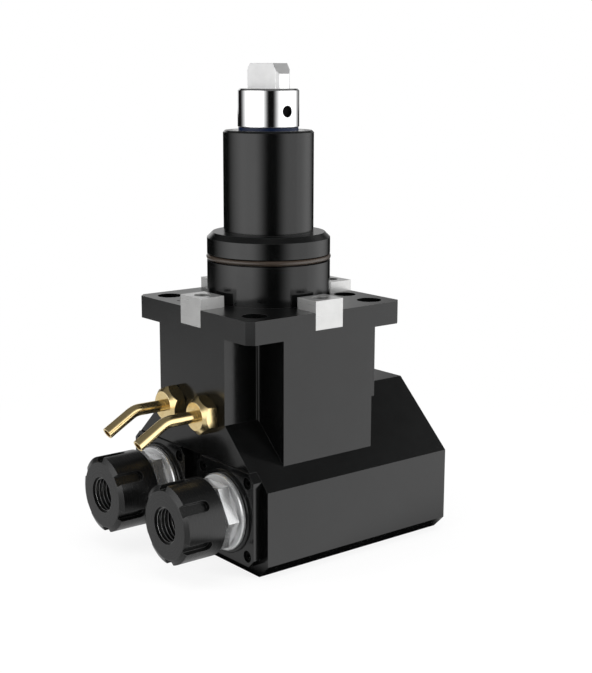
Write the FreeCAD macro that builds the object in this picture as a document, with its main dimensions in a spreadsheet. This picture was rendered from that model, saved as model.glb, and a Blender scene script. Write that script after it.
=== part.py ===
import FreeCAD, Part
import math
import os

import Sketcher

# Twin-spindle live tool holder for the bolted turret face of a lathe.
# The origin lies on the shank axis at the mounting face, +Z points along the
# shank towards the turret and both spindles point along -Y.  Millimetres.

doc = FreeCAD.newDocument("live_tool_holder")
sheet = doc.addObject("Spreadsheet::Sheet", "Sizes")
VECTOR = FreeCAD.Vector


class Size:
    """A number together with the spreadsheet formula that gives it."""

    def __init__(self, text, value):
        self.text = text
        self.value = value

    def __add__(self, other):
        other = as_size(other)
        return Size(f"({self.text} + {other.text})", self.value + other.value)

    def __sub__(self, other):
        other = as_size(other)
        return Size(f"({self.text} - {other.text})", self.value - other.value)

    def __mul__(self, other):
        other = as_size(other)
        return Size(f"({self.text} * {other.text})", self.value * other.value)

    def __truediv__(self, other):
        other = as_size(other)
        return Size(f"({self.text} / {other.text})", self.value / other.value)

    def __neg__(self):
        return Size(f"(0 - {self.text})", -self.value)

    def __radd__(self, other):
        return as_size(other) + self

    def __rsub__(self, other):
        return as_size(other) - self

    def __rmul__(self, other):
        return as_size(other) * self


def as_size(number):
    """Wrap a plain number, so that it can stand in a formula."""
    if isinstance(number, Size):
        return number
    return Size(f"({number:.9g})", float(number))


def root(size):
    """Square root of a Size."""
    return Size(f"sqrt({size.text})", math.sqrt(size.value))


def sine(degrees):
    """Sine of a Size in degrees."""
    degrees = as_size(degrees)
    return Size(f"sin({degrees.text} * 1 deg)", math.sin(math.radians(degrees.value)))


def cosine(degrees):
    """Cosine of a Size in degrees."""
    degrees = as_size(degrees)
    return Size(f"cos({degrees.text} * 1 deg)", math.cos(math.radians(degrees.value)))


def arc_tangent(ratio):
    """Angle in degrees whose tangent is ratio."""
    return Size(f"(atan({ratio.text}) / 1 deg)", math.degrees(math.atan(ratio.value)))


def size(alias, value):
    """Enter one driving dimension in the sheet and return it."""
    row = size.rows = size.rows + 1
    sheet.set(f"A{row}", alias.replace("_", " "))
    sheet.set(f"B{row}", f"{value:g}")
    sheet.setAlias(f"B{row}", alias)
    return Size(f"Sizes.{alias}", float(value))


size.rows = 0

# Mounting flange and its keys
flange_width = size("flange_width", 85)
flange_thickness = size("flange_thickness", 10)
flange_corner = size("flange_corner", 3)
bolt_pitch = size("bolt_pitch", 64)
bolt_hole = size("bolt_hole", 11)
key_width = size("key_width", 15)
key_length = size("key_length", 12.5)
key_stand = size("key_stand", 5)
key_depth = size("key_depth", 7.6)
key_edge = size("key_edge", 0.6)
key_screw_head = size("key_screw_head", 7)
key_screw_shank = size("key_screw_shank", 4)
key_screw_length = size("key_screw_length", 20)
port_x = size("port_x", 14)
port_y = size("port_y", 33.2)
port_bore = size("port_bore", 10)
port_depth = size("port_depth", 44.5)

# Pilot and neck
pilot_diameter = size("pilot_diameter", 55)
pilot_height = size("pilot_height", 30.2)
pilot_chamfer = size("pilot_chamfer", 2.4)
ring_groove_bottom = size("ring_groove_bottom", 17.7)
ring_groove_width = size("ring_groove_width", 3.1)
ring_groove_depth = size("ring_groove_depth", 2.1)
ring_section = size("ring_section", 2.4)
neck_diameter = size("neck_diameter", 40)
neck_top = size("neck_top", 74.7)
neck_chamfer = size("neck_chamfer", 0.8)

# Block and gear housing
web_half = size("web_half", 24.7)
pocket_corner = size("pocket_corner", 1.5)
roof_depth = size("roof_depth", 41.9)
roof_half = size("roof_half", 19.2)
shoulder_depth = size("shoulder_depth", 71.3)
shoulder_half = size("shoulder_half", 50.1)
bottom_depth = size("bottom_depth", 109.8)
bottom_chamfer = size("bottom_chamfer", 6)
case_front = size("case_front", 39)
case_back = size("case_back", 64.4)

# Spindle places and gears
spindle_offset = size("spindle_offset", 25.4)
spindle_rise = size("spindle_rise", 25.4)
gear_module = size("gear_module", 1.5)
gear_backlash = size("gear_backlash", 0.06)
chamber_clearance = size("chamber_clearance", 0.6)
case_clearance = size("case_clearance", 0.3)
running_clearance = size("running_clearance", 0.05)
fit_gap = size("fit_gap", 0.1)
axial_gap = size("axial_gap", 0.2)
SPUR_TEETH = 22
SPUR_ROOT = 1.25
BEVEL_TEETH = 18
BEVEL_ROOT = 1.2
BEVEL_CONE = BEVEL_TEETH / 2 * math.sqrt(2)
BEVEL_ROOT_SLOPE = math.tan(math.pi / 4 - math.atan(BEVEL_ROOT / BEVEL_CONE))
PRESSURE_ANGLE = math.radians(20)

spindle_depth = bottom_depth - spindle_rise
spur_pitch_radius = gear_module * (SPUR_TEETH / 2)
spur_outer_radius = spur_pitch_radius + gear_module
spur_distance = gear_module * SPUR_TEETH
idler_rise = root(spur_distance * spur_distance - spindle_offset * spindle_offset)
idler_depth = spindle_depth - idler_rise
lobe_radius = spur_outer_radius + chamber_clearance
gear_front = size("gear_front", 22)
gear_width = size("gear_width", 14)
bevel_width = size("bevel_width", 3.9)
bevel_pitch_radius = gear_module * (BEVEL_TEETH / 2)
bevel_small_radius = bevel_pitch_radius - bevel_width

# Ball bearings: bore, outside and width
shaft_bearing_bore = size("shaft_bearing_bore", 15)
shaft_bearing_outside = size("shaft_bearing_outside", 32)
shaft_bearing_width = size("shaft_bearing_width", 9)
spindle_bearing_bore = size("spindle_bearing_bore", 20)
spindle_bearing_outside = size("spindle_bearing_outside", 37)
spindle_bearing_width = size("spindle_bearing_width", 9)
idler_bearing_bore = size("idler_bearing_bore", 12)
idler_bearing_outside = size("idler_bearing_outside", 24)
idler_bearing_width = size("idler_bearing_width", 6)
race_thickness = size("race_thickness", 2.6)
race_gap = size("race_gap", 0.3)
race_play = size("race_play", 0.1)
seat_shoulder = size("seat_shoulder", 1.5)
race_lip = size("race_lip", 1.2)
bearing_relief = size("bearing_relief", 0.6)

# Input shaft and its drive head
lower_bearing_seat = size("lower_bearing_seat", 33)
upper_bearing_top = size("upper_bearing_top", 70)
shaft_hub = size("shaft_hub", 19)
retainer_bore = size("retainer_bore", 23)
seal_ring_diameter = size("seal_ring_diameter", 26.4)
seal_ring_height = size("seal_ring_height", 1.2)
collar_diameter = size("collar_diameter", 27)
collar_top = size("collar_top", 92.6)
collar_chamfer = size("collar_chamfer", 0.8)
collar_spigot = size("collar_spigot", 20)
pin_height = size("pin_height", 83)
pin_diameter = size("pin_diameter", 5)
pin_recess = size("pin_recess", 1.5)
tang_length = size("tang_length", 22.4)
tang_thickness = size("tang_thickness", 7.8)
tang_top = size("tang_top", 103.4)
tang_chamfer = size("tang_chamfer", 3)
tang_corner = size("tang_corner", 1.2)
tang_root = size("tang_root", 78)

# Front covers
cover_width = size("cover_width", 41)
cover_corner = size("cover_corner", 3.6)
cover_thickness = size("cover_thickness", 4.3)
cover_boss = size("cover_boss", 36.4)
cover_boss_height = size("cover_boss_height", 1)
cover_boss_edge = size("cover_boss_edge", 0.4)
cover_hole_pitch = size("cover_hole_pitch", 32)
cover_spigot = size("cover_spigot", 1)
cover_screw_head = size("cover_screw_head", 5)
cover_screw_shank = size("cover_screw_shank", 3)
cover_screw_sink = size("cover_screw_sink", 3.2)
cover_screw_length = size("cover_screw_length", 9)
cover_screw_recess = size("cover_screw_recess", 0.6)
seal_diameter = size("seal_diameter", 30)
seal_width = size("seal_width", 3)

# Spindle noses, hexagons and thrower discs
nose_front = size("nose_front", 71.6)
nose_thread = size("nose_thread", 25)
thread_chamfer = size("thread_chamfer", 0.8)
taper_mouth = size("taper_mouth", 21)
taper_rear = size("taper_rear", 13)
taper_length = size("taper_length", 28.5)
hex_front = size("hex_front", 52.4)
hex_rear = size("hex_rear", 46.9)
hex_flats = size("hex_flats", 27)
disc_front = size("disc_front", 46.2)
disc_diameter = size("disc_diameter", 33.6)
disc_edge = size("disc_edge", 0.5)
hub_diameter = size("hub_diameter", 24)
sleeve_wall = size("sleeve_wall", 3)
gear_seat = size("gear_seat", 19)
spindle_end = size("spindle_end", 60.4)
lock_nut_width = size("lock_nut_width", 8)
lock_nut_diameter = size("lock_nut_diameter", 28)

# Collets and collet nuts
nut_front = size("nut_front", 73.9)
nut_rear = size("nut_rear", 54)
nut_diameter = size("nut_diameter", 34)
nut_bore = size("nut_bore", 16)
nut_face = size("nut_face", 29)
nut_face_drop = size("nut_face_drop", 1.2)
nut_rear_chamfer = size("nut_rear_chamfer", 1)
nut_slot_width = size("nut_slot_width", 4.8)
nut_slot_length = size("nut_slot_length", 13)
nut_slot_depth = size("nut_slot_depth", 2.3)
collet_bore = size("collet_bore", 14.4)
collet_grip = size("collet_grip", 10)
collet_groove = size("collet_groove", 0.7)
collet_face = size("collet_face", 1.2)
collet_lip = size("collet_lip", 1.4)
collet_groove_pitch = size("collet_groove_pitch", 1.8)
collet_slit = size("collet_slit", 0.6)
NUT_SLOTS = 6
COLLET_GROOVES = 4
COLLET_SLITS = 6

# Idler shaft
idler_journal = size("idler_journal", 12)
idler_front = size("idler_front", 19.5)
idler_sleeve = size("idler_sleeve", 16)

# Rear cover
rear_cover_inset = size("rear_cover_inset", 2.6)
rear_cover_thickness = size("rear_cover_thickness", 4.2)
rear_cover_sink = size("rear_cover_sink", 0.2)
rear_lobe_length = size("rear_lobe_length", 9.4)
rear_screw_head = size("rear_screw_head", 7)
rear_screw_shank = size("rear_screw_shank", 4)
rear_screw_sink = size("rear_screw_sink", 2.4)
rear_screw_length = size("rear_screw_length", 12)
rear_screw_inset = size("rear_screw_inset", 9)
rear_screw_drop = size("rear_screw_drop", 15.6)
rear_screw_slope_inset = size("rear_screw_slope_inset", 4)

# Coolant nozzles and drillings
nozzle_offset = size("nozzle_offset", 12.3)
nozzle_depth = size("nozzle_depth", 44.6)
nozzle_flats = size("nozzle_flats", 15)
nozzle_front = size("nozzle_front", 49.6)
nozzle_face = size("nozzle_face", 12.4)
nozzle_rear_bevel = size("nozzle_rear_bevel", 4.3)
nozzle_thread = size("nozzle_thread", 9)
nozzle_reach = size("nozzle_reach", 5.5)
nozzle_seat = size("nozzle_seat", 7.5)
tube_outside = size("tube_outside", 5.2)
tube_bore = size("tube_bore", 3.6)
tube_socket = size("tube_socket", 5.5)
tube_bend = size("tube_bend", 64)
tube_bend_radius = size("tube_bend_radius", 9)
tube_angle = size("tube_angle", 30)
tube_end = size("tube_end", 16)
gallery_bore = size("gallery_bore", 3.6)
gallery_x = size("gallery_x", 18)
gallery_depth = size("gallery_depth", 38)
cross_bore = size("cross_bore", 3)
cross_depth = size("cross_depth", 40.5)
cross_y = size("cross_y", 36.3)
vent_x = size("vent_x", 18.4)
vent_bore = size("vent_bore", 1.5)
plug_length = size("plug_length", 4)

# Places that follow from the sizes
flange_half = flange_width / 2
spindle_z = -spindle_depth
idler_z = -idler_depth
nozzle_z = -nozzle_depth
cover_front = case_front + cover_thickness
panel_depth = spindle_depth - cover_width / 2
slope = (shoulder_depth - roof_depth) / (shoulder_half - roof_half)
panel_half = roof_half + (panel_depth - roof_depth) / slope
front_race = case_front - cover_spigot
spindle_shoulder = front_race - spindle_bearing_width * 2
rear_cover_front = case_back - rear_cover_sink - rear_cover_thickness
rear_lobe_front = rear_cover_front - rear_lobe_length
rear_race_end = rear_cover_front - axial_gap
tilt = arc_tangent(idler_rise / spindle_offset)


def number(value):
    """Plain value of a Size or a number."""
    return as_size(value).value


def new_body(label):
    """Start the body of one piece, or of one group of like pieces."""
    body = doc.addObject("PartDesign::Body", label)
    body.Label = label
    body.AllowCompound = True
    new_body.labels.append(label)
    return body


new_body.labels = []


def new_sketch(body, plane, offset=0):
    """Place a sketch on an origin plane of the body, moved along its normal."""
    sketch = body.newObject("Sketcher::SketchObject", f"{body.Name}_sketch")
    planes = {feature.Role: feature for feature in body.Origin.OriginFeatures}
    sketch.AttachmentSupport = (planes[plane], "")
    sketch.MapMode = "FlatFace"
    bind(sketch, "AttachmentOffset.Base.z", offset)
    return sketch


def bind(item, name, value):
    """Bind a property to the formula of a Size."""
    if isinstance(value, Size):
        item.setExpression(name, value.text)


def fix(sketch, kind, geometry, point, value):
    """Hold one coordinate of a sketch point, measured from the sketch origin."""
    if not isinstance(value, Size) and value == 0:
        axis = -2 if kind == "DistanceX" else -1
        sketch.addConstraint(Sketcher.Constraint("PointOnObject", geometry, point, axis))
        return
    index = sketch.addConstraint(
        Sketcher.Constraint(kind, -1, 1, geometry, point, number(value)))
    bind(sketch, f"Constraints[{index}]", value)


def outline(sketch, points, closed=True):
    """Draw straight edges and arcs through points, each coordinate held.

    A point is (x, y), or (x, y, centre, held) where an arc about centre leads to
    the next point: held names the coordinate of the centre that fixes the arc,
    and a leading minus sign makes the arc run clockwise.
    """
    first = sketch.GeometryCount
    count = len(points)
    edges = count if closed else count - 1
    ends = []
    for index in range(edges):
        point = points[index]
        following = points[(index + 1) % count]
        start = VECTOR(number(point[0]), number(point[1]), 0)
        end = VECTOR(number(following[0]), number(following[1]), 0)
        if len(point) == 2:
            sketch.addGeometry(Part.LineSegment(start, end))
            ends.append((1, 2))
            continue
        centre = VECTOR(number(point[2][0]), number(point[2][1]), 0)
        circle = Part.Circle(centre, VECTOR(0, 0, 1), (start - centre).Length)
        angles = [math.atan2(p.y - centre.y, p.x - centre.x) for p in (start, end)]
        if point[3].startswith("-"):
            angles.reverse()
        sketch.addGeometry(Part.ArcOfCircle(circle, angles[0], angles[1]))
        ends.append((2, 1) if point[3].startswith("-") else (1, 2))
    for index in range(edges):
        following = (index + 1) % count
        if following < edges:
            sketch.addConstraint(Sketcher.Constraint(
                "Coincident", first + index, ends[index][1],
                first + following, ends[following][0]))
    for index, point in enumerate(points):
        edge, end = (index, 0) if index < edges else (index - 1, 1)
        fix(sketch, "DistanceX", first + edge, ends[edge][end], point[0])
        fix(sketch, "DistanceY", first + edge, ends[edge][end], point[1])
        if len(point) == 4:
            held = point[3].strip("-")
            value = point[2][0] if held == "x" else point[2][1]
            fix(sketch, f"Distance{held.upper()}", first + index, 3, value)


def circles(sketch, centres, radius):
    """Draw equal circles about the centres."""
    for centre in centres:
        place = VECTOR(number(centre[0]), number(centre[1]), 0)
        index = sketch.addGeometry(Part.Circle(place, VECTOR(0, 0, 1), number(radius)))
        fix(sketch, "DistanceX", index, 3, centre[0])
        fix(sketch, "DistanceY", index, 3, centre[1])
        held = sketch.addConstraint(Sketcher.Constraint("Radius", index, number(radius)))
        bind(sketch, f"Constraints[{held}]", radius)


def polygon(sketch, centre, sides, inner_radius, first_angle):
    """Draw a regular polygon by the radius of its inscribed circle."""
    corner_radius = inner_radius / math.cos(math.pi / sides)
    points = []
    for side in range(sides):
        angle = math.radians(first_angle + side * 360 / sides)
        x = centre[0] + corner_radius * math.cos(angle)
        y = centre[1] + corner_radius * math.sin(angle)
        points.append((x, y))
    outline(sketch, points)


def add_feature(body, kind, sketch, length=None, reverse=False):
    """Add a pad or pocket of the sketch to the body."""
    feature = body.newObject(f"PartDesign::{kind}", f"{body.Name}_{kind.lower()}")
    feature.Profile = sketch
    feature.Length = number(length)
    bind(feature, "Length", length)
    feature.Reversed = reverse
    body.Tip = feature
    return feature


def pad(body, sketch, length, reverse=False):
    """Raise the sketch along its normal."""
    return add_feature(body, "Pad", sketch, length, reverse)


def pocket(body, sketch, length, reverse=False):
    """Cut the sketch against its normal."""
    return add_feature(body, "Pocket", sketch, length, reverse)


def turn(body, plane, profiles, cut=False):
    """Turn closed profiles about the Z axis (XZ_Plane) or the Y axis (YZ_Plane)."""
    sketch = new_sketch(body, plane)
    for profile in profiles:
        outline(sketch, profile)
    kind = "Groove" if cut else "Revolution"
    feature = body.newObject(f"PartDesign::{kind}", f"{body.Name}_{kind.lower()}")
    feature.Profile = sketch
    feature.ReferenceAxis = (sketch, ["V_Axis" if plane == "XZ_Plane" else "H_Axis"])
    feature.Angle = 360
    body.Tip = feature
    return feature


def pattern(body, feature, role, count):
    """Repeat a feature evenly about an origin axis of the body."""
    axes = {item.Role: item for item in body.Origin.OriginFeatures}
    copies = body.newObject("PartDesign::PolarPattern", f"{body.Name}_pattern")
    copies.Originals = [feature]
    copies.Axis = (axes[role], [""])
    copies.Angle = 360
    copies.Occurrences = count
    body.Tip = copies
    return copies


def place(body, x=0, y=0, z=0, axis=None, angle=0):
    """Put the body in its place in the assembly."""
    position = VECTOR(number(x), number(y), number(z))
    rotation = FreeCAD.Rotation(axis or VECTOR(0, 0, 1), number(angle))
    body.Placement = FreeCAD.Placement(position, rotation)
    bind(body, "Placement.Base.x", x)
    bind(body, "Placement.Base.y", y)
    bind(body, "Placement.Base.z", z)
    bind(body, "Placement.Rotation.Angle", angle)


def rectangle(x0, x1, y0, y1):
    """Corners of an upright rectangle."""
    return [(x0, y0), (x1, y0), (x1, y1), (x0, y1)]


def chamfered_square(half, corner):
    """Corners of a square with cut corners."""
    inner = half - corner
    return [(half, -inner), (half, inner), (inner, half), (-inner, half),
            (-half, inner), (-half, -inner), (-inner, -half), (inner, -half)]


def ring(inner, outer, start, end):
    """Half section of a plain ring about the Y axis, as (along, radius)."""
    return [(start, inner), (end, inner), (end, outer), (start, outer)]


def upright_ring(inner, outer, bottom, top):
    """Half section of a plain ring about the Z axis, as (radius, height)."""
    return [(inner, bottom), (outer, bottom), (outer, top), (inner, top)]


def cap_screw(body, plane, centres, face, head, shank, length, inward):
    """Socket-head screws whose heads lie at face and whose shanks run inward."""
    head_height = shank
    sketch = new_sketch(body, plane, face)
    circles(sketch, centres, head / 2)
    pad(body, sketch, head_height, inward)
    sketch = new_sketch(body, plane, face)
    circles(sketch, centres, shank / 2)
    pad(body, sketch, head_height + length, inward)
    sketch = new_sketch(body, plane, face)
    for centre in centres:
        polygon(sketch, centre, 6, shank * 0.42, 30)
    pocket(body, sketch, head_height * 0.55, not inward)


def involute(angle):
    """Involute function of a pressure angle in radians."""
    return math.tan(angle) - angle


def flank(teeth, radius):
    """Half angle of an involute tooth at a radius in modules, in radians."""
    base = teeth / 2 * math.cos(PRESSURE_ANGLE)
    pressure = math.acos(min(1, base / radius))
    return math.pi / 2 / teeth + involute(PRESSURE_ANGLE) - involute(pressure)


def spur_tooth(teeth):
    """Outline of one tooth pointing along +X, from the root to the tip."""
    root_radius = teeth / 2 - SPUR_ROOT
    base = teeth / 2 * math.cos(PRESSURE_ANGLE)
    radii = [root_radius - 0.3, base, (base + teeth / 2 + 1) / 2, teeth / 2 + 1]
    upper = []
    lower = []
    for radius in radii:
        angle = flank(teeth, max(radius, base))
        x = gear_module * (radius * math.cos(angle))
        y = gear_module * (radius * math.sin(angle)) - gear_backlash / 2
        upper.append((x, y))
        lower.append((x, -y))
    return lower + upper[::-1]


def spur_gear(label, start, bore):
    """Spur gear about the Y axis with one tooth towards +X."""
    body = new_body(label)
    sketch = new_sketch(body, "XZ_Plane", -start)
    circles(sketch, [(0, 0)], gear_module * (SPUR_TEETH / 2 - SPUR_ROOT))
    pad(body, sketch, gear_width, True)
    sketch = new_sketch(body, "XZ_Plane", -start)
    outline(sketch, spur_tooth(SPUR_TEETH))
    tooth = pad(body, sketch, gear_width, True)
    pattern(body, tooth, "Y_Axis", SPUR_TEETH)
    sketch = new_sketch(body, "XZ_Plane", -start)
    circles(sketch, [(0, 0)], bore / 2)
    pocket(body, sketch, gear_width)
    return body


def bevel_tooth(height):
    """Level section, at a height above the apex, of one mitre tooth along +X."""
    cone = BEVEL_CONE
    upper = []
    lower = []
    for rise in (-1.6, -0.9, 0, 1):
        tip = math.pi / 4 + math.atan(rise / cone)
        half = (cone + rise) * math.sin(flank(BEVEL_TEETH * math.sqrt(2), cone + rise))
        share = math.cos(math.pi / 4) / math.cos(tip) / math.sqrt(1 + (rise / cone) ** 2)
        x = height * math.tan(tip)
        y = height * (half / (BEVEL_TEETH / 2) * share) - gear_backlash / 2
        upper.append((x, y))
        lower.append((x, -y))
    return lower + upper[::-1]


def bevel_teeth(body, plane, axis):
    """Cut-to-length mitre teeth between two level planes above the apex."""
    sections = []
    for height in (bevel_small_radius, bevel_pitch_radius):
        sketch = new_sketch(body, plane, height)
        outline(sketch, bevel_tooth(height))
        sections.append(sketch)
    tooth = body.newObject("PartDesign::AdditiveLoft", f"{body.Name}_tooth")
    tooth.Profile = sections[0]
    tooth.Sections = [sections[1]]
    tooth.Ruled = True
    body.Tip = tooth
    return pattern(body, tooth, axis, BEVEL_TEETH)


def bevel_back():
    """Half section outside the back cone of the mitre gear: (along, radius)."""
    reach = bevel_pitch_radius
    far = gear_module * 3
    return [(reach + far, reach - far), (reach + far, reach + far),
            (reach - far, reach + far)]


def build_housing():
    """Flange, block, gear case, pilot and neck in one piece, with its bores."""
    body = new_body("housing")
    sketch = new_sketch(body, "XY_Plane")
    outline(sketch, chamfered_square(flange_half, flange_corner))
    pad(body, sketch, flange_thickness, True)
    for points, depth in ((block_outline(), panel_depth),
                          (rectangle(-flange_half, flange_half, -web_half, web_half),
                           spindle_depth)):
        sketch = new_sketch(body, "XY_Plane", -flange_thickness)
        outline(sketch, points)
        pad(body, sketch, depth - flange_thickness, True)
    sketch = new_sketch(body, "XZ_Plane", case_front)
    outline(sketch, [(-panel_half, -panel_depth), (panel_half, -panel_depth),
                     (roof_half, -roof_depth), (-roof_half, -roof_depth)])
    pad(body, sketch, flange_half - case_front)
    sketch = new_sketch(body, "XZ_Plane", case_front)
    foot = shoulder_half - bottom_chamfer
    outline(sketch, [
        (-foot, -bottom_depth), (foot, -bottom_depth),
        (shoulder_half, bottom_chamfer - bottom_depth), (shoulder_half, -shoulder_depth),
        (roof_half, -roof_depth), (-roof_half, -roof_depth),
        (-shoulder_half, -shoulder_depth), (-shoulder_half, bottom_chamfer - bottom_depth)])
    pad(body, sketch, case_front + case_back, True)
    pilot = pilot_diameter / 2
    neck = neck_diameter / 2
    groove_top = ring_groove_bottom + ring_groove_width
    turn(body, "XZ_Plane", [[
        (0, -flange_thickness / 2), (pilot, -flange_thickness / 2),
        (pilot, ring_groove_bottom), (pilot - ring_groove_depth, ring_groove_bottom),
        (pilot - ring_groove_depth, groove_top), (pilot, groove_top),
        (pilot, pilot_height - pilot_chamfer), (pilot - pilot_chamfer, pilot_height),
        (neck, pilot_height), (neck, neck_top - neck_chamfer),
        (neck - neck_chamfer, neck_top), (0, neck_top)]])
    drill_shaft_bore(body)
    open_gear_chamber(body)
    drill_flange(body)
    drill_coolant(body)
    return body


def block_outline():
    """Cross section of the block: a cross whose four inner corners are rounded."""
    far = flange_half
    web = web_half
    bend = web_half + pocket_corner
    return [
        (far, -web), (far, web), (bend, web, (bend, bend), "-y"), (web, bend),
        (web, far), (-web, far), (-web, bend, (-bend, bend), "-x"), (-bend, web),
        (-far, web), (-far, -web), (-bend, -web, (-bend, -bend), "-y"), (-web, -bend),
        (-web, -far), (web, -far), (web, -bend, (bend, -bend), "-x"), (bend, -web)]


def drill_shaft_bore(body):
    """Stepped bore for the input shaft, open into the gear chamber."""
    seat = shaft_bearing_outside / 2
    throat = seat - seat_shoulder
    relief = bevel_pitch_radius + gear_module + chamber_clearance
    turn(body, "XZ_Plane", [[
        (0, -idler_depth), (relief, -idler_depth), (relief, relief - idler_depth),
        (throat, relief - idler_depth), (throat, -lower_bearing_seat),
        (seat, -lower_bearing_seat), (seat, neck_top + 1), (0, neck_top + 1)]], cut=True)


def open_gear_chamber(body):
    """Bearing seats, gear chamber and the recess of the rear cover."""
    spindles = [(-spindle_offset, spindle_z), (spindle_offset, spindle_z)]
    idler = [(0, idler_z)]
    chamber_front = spindle_shoulder - seat_shoulder * 2
    cuts = (
        (-case_back, spindles, lobe_radius, case_back + chamber_front, True),
        (-case_back, idler, lobe_radius, case_back + idler_front, True),
        (case_front, spindles, spindle_bearing_outside / 2,
         case_front - spindle_shoulder, False),
        (case_front, spindles, spindle_bearing_outside / 2 - seat_shoulder,
         case_front, False),
        (idler_front, idler, idler_bearing_outside / 2, idler_bearing_width, True),
        (idler_front, idler, idler_bearing_bore / 2 + seat_shoulder,
         idler_bearing_width + seat_shoulder, True),
    )
    for start, centres, radius, depth, forward in cuts:
        sketch = new_sketch(body, "XZ_Plane", start)
        circles(sketch, centres, radius)
        pocket(body, sketch, depth, forward)
    sketch = new_sketch(body, "XZ_Plane", -case_back)
    outline(sketch, rear_outline(rear_cover_inset))
    pocket(body, sketch, rear_cover_thickness + rear_cover_sink, True)
    sketch = new_sketch(body, "XZ_Plane", -rear_cover_front)
    circles(sketch, rear_screw_places(), rear_screw_shank / 2)
    pocket(body, sketch, rear_screw_length, True)
    sketch = new_sketch(body, "XZ_Plane", case_front)
    circles(sketch, cover_screw_places(), cover_screw_shank / 2)
    pocket(body, sketch, cover_screw_length)


def rear_outline(inset):
    """Outline of the gear case seen from the rear, drawn in by an inset."""
    side = shoulder_half - inset
    lift = inset * 0.5
    foot = side - bottom_chamfer
    return [(-foot, inset - bottom_depth), (foot, inset - bottom_depth),
            (side, bottom_chamfer + inset - bottom_depth),
            (side, -shoulder_depth - lift), (roof_half - lift, -roof_depth - inset),
            (lift - roof_half, -roof_depth - inset), (-side, -shoulder_depth - lift),
            (-side, bottom_chamfer + inset - bottom_depth)]


def rear_screw_places():
    """Screw places of the rear cover, outside the lobes of the gear chamber."""
    low = -spindle_depth - rear_screw_drop
    high = -(roof_depth + shoulder_depth) / 2 - rear_screw_slope_inset
    side = shoulder_half - rear_screw_inset
    upper = roof_half + rear_screw_inset
    return [(-side, low), (side, low), (-upper, high), (upper, high), (0, low)]


def cover_screw_places():
    """Screw places of both front covers."""
    half = cover_hole_pitch / 2
    places = []
    for side in (-1, 1):
        for across in (-1, 1):
            for up in (-1, 1):
                places.append((spindle_offset * side + half * across,
                               spindle_z + half * up))
    return places


def bolt_places():
    """Centres of the four mounting bolts."""
    half = bolt_pitch / 2
    return [(half * x, half * y) for x in (-1, 1) for y in (-1, 1)]


def key_places():
    """Centres of the four key screws, with the direction of each key."""
    reach = flange_half - key_length / 2
    return [(reach, 0), (0, reach), (-reach, 0), (0, -reach)]


def key_outlines():
    """Plan outlines of the four keys."""
    half = key_width / 2
    inner = flange_half - key_length
    return [rectangle(inner, flange_half, -half, half),
            rectangle(-half, half, inner, flange_half),
            rectangle(-flange_half, -inner, -half, half),
            rectangle(-half, half, -flange_half, -inner)]


def drill_flange(body):
    """Bolt holes, port, vent and key slots of the flange."""
    sketch = new_sketch(body, "XY_Plane")
    circles(sketch, bolt_places(), bolt_hole / 2)
    pocket(body, sketch, flange_thickness)
    sketch = new_sketch(body, "XY_Plane")
    circles(sketch, [(port_x, port_y)], port_bore / 2)
    pocket(body, sketch, port_depth)
    sketch = new_sketch(body, "XY_Plane")
    circles(sketch, [(-vent_x, -cross_y)], vent_bore / 2)
    pocket(body, sketch, cross_depth)
    sketch = new_sketch(body, "XY_Plane")
    for corners in key_outlines():
        outline(sketch, corners)
    pocket(body, sketch, key_depth)
    sketch = new_sketch(body, "XY_Plane")
    circles(sketch, key_places(), key_screw_shank / 2)
    pocket(body, sketch, key_screw_length)


def drill_coolant(body):
    """Galleries from the port to the two nozzle seats."""
    sketch = new_sketch(body, "XZ_Plane", flange_half)
    circles(sketch, [(-nozzle_offset, nozzle_z), (nozzle_offset, nozzle_z)],
            nozzle_thread / 2)
    pocket(body, sketch, nozzle_seat)
    sketch = new_sketch(body, "XZ_Plane", -flange_half)
    circles(sketch, [(gallery_x, -gallery_depth)], gallery_bore / 2)
    pocket(body, sketch, flange_half + cross_y, True)
    sketch = new_sketch(body, "YZ_Plane", -web_half)
    circles(sketch, [(-cross_y, -cross_depth)], cross_bore / 2)
    pocket(body, sketch, web_half + gallery_x, True)


def build_flange_fittings():
    """Sealing ring, the four keys, their screws and the gallery plugs."""
    body = new_body("pilot_o_ring")
    centre = pilot_diameter / 2 - ring_groove_depth + ring_section / 2
    level = ring_groove_bottom + ring_groove_width / 2
    sketch = new_sketch(body, "XZ_Plane")
    circles(sketch, [(centre, level)], ring_section / 2)
    feature = body.newObject("PartDesign::Revolution", "pilot_o_ring_turn")
    feature.Profile = sketch
    feature.ReferenceAxis = (sketch, ["V_Axis"])
    feature.Angle = 360
    body.Tip = feature

    body = new_body("locating_keys")
    sketch = new_sketch(body, "XY_Plane", -key_depth)
    for corners in key_outlines():
        outline(sketch, corners)
    pad(body, sketch, key_depth + key_stand)
    sketch = new_sketch(body, "XY_Plane", key_stand)
    circles(sketch, key_places(), key_screw_head / 2 + running_clearance)
    pocket(body, sketch, key_screw_shank + 1)
    sketch = new_sketch(body, "XY_Plane", key_stand)
    circles(sketch, key_places(), key_screw_shank / 2 + running_clearance)
    pocket(body, sketch, key_stand + key_depth)

    body = new_body("key_screws")
    cap_screw(body, "XY_Plane", key_places(), key_stand - 1, key_screw_head,
              key_screw_shank, key_screw_length - 1, True)

    body = new_body("rear_gallery_plug")
    sketch = new_sketch(body, "XZ_Plane", -flange_half)
    circles(sketch, [(gallery_x, -gallery_depth)], gallery_bore / 2)
    pad(body, sketch, plug_length)
    body = new_body("side_gallery_plug")
    sketch = new_sketch(body, "YZ_Plane", -web_half)
    circles(sketch, [(-cross_y, -cross_depth)], cross_bore / 2)
    pad(body, sketch, plug_length)


def bearing_places_input():
    """Lower ends of the three input-shaft bearings."""
    return [-lower_bearing_seat, upper_bearing_top - shaft_bearing_width * 2,
            upper_bearing_top - shaft_bearing_width]


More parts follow.
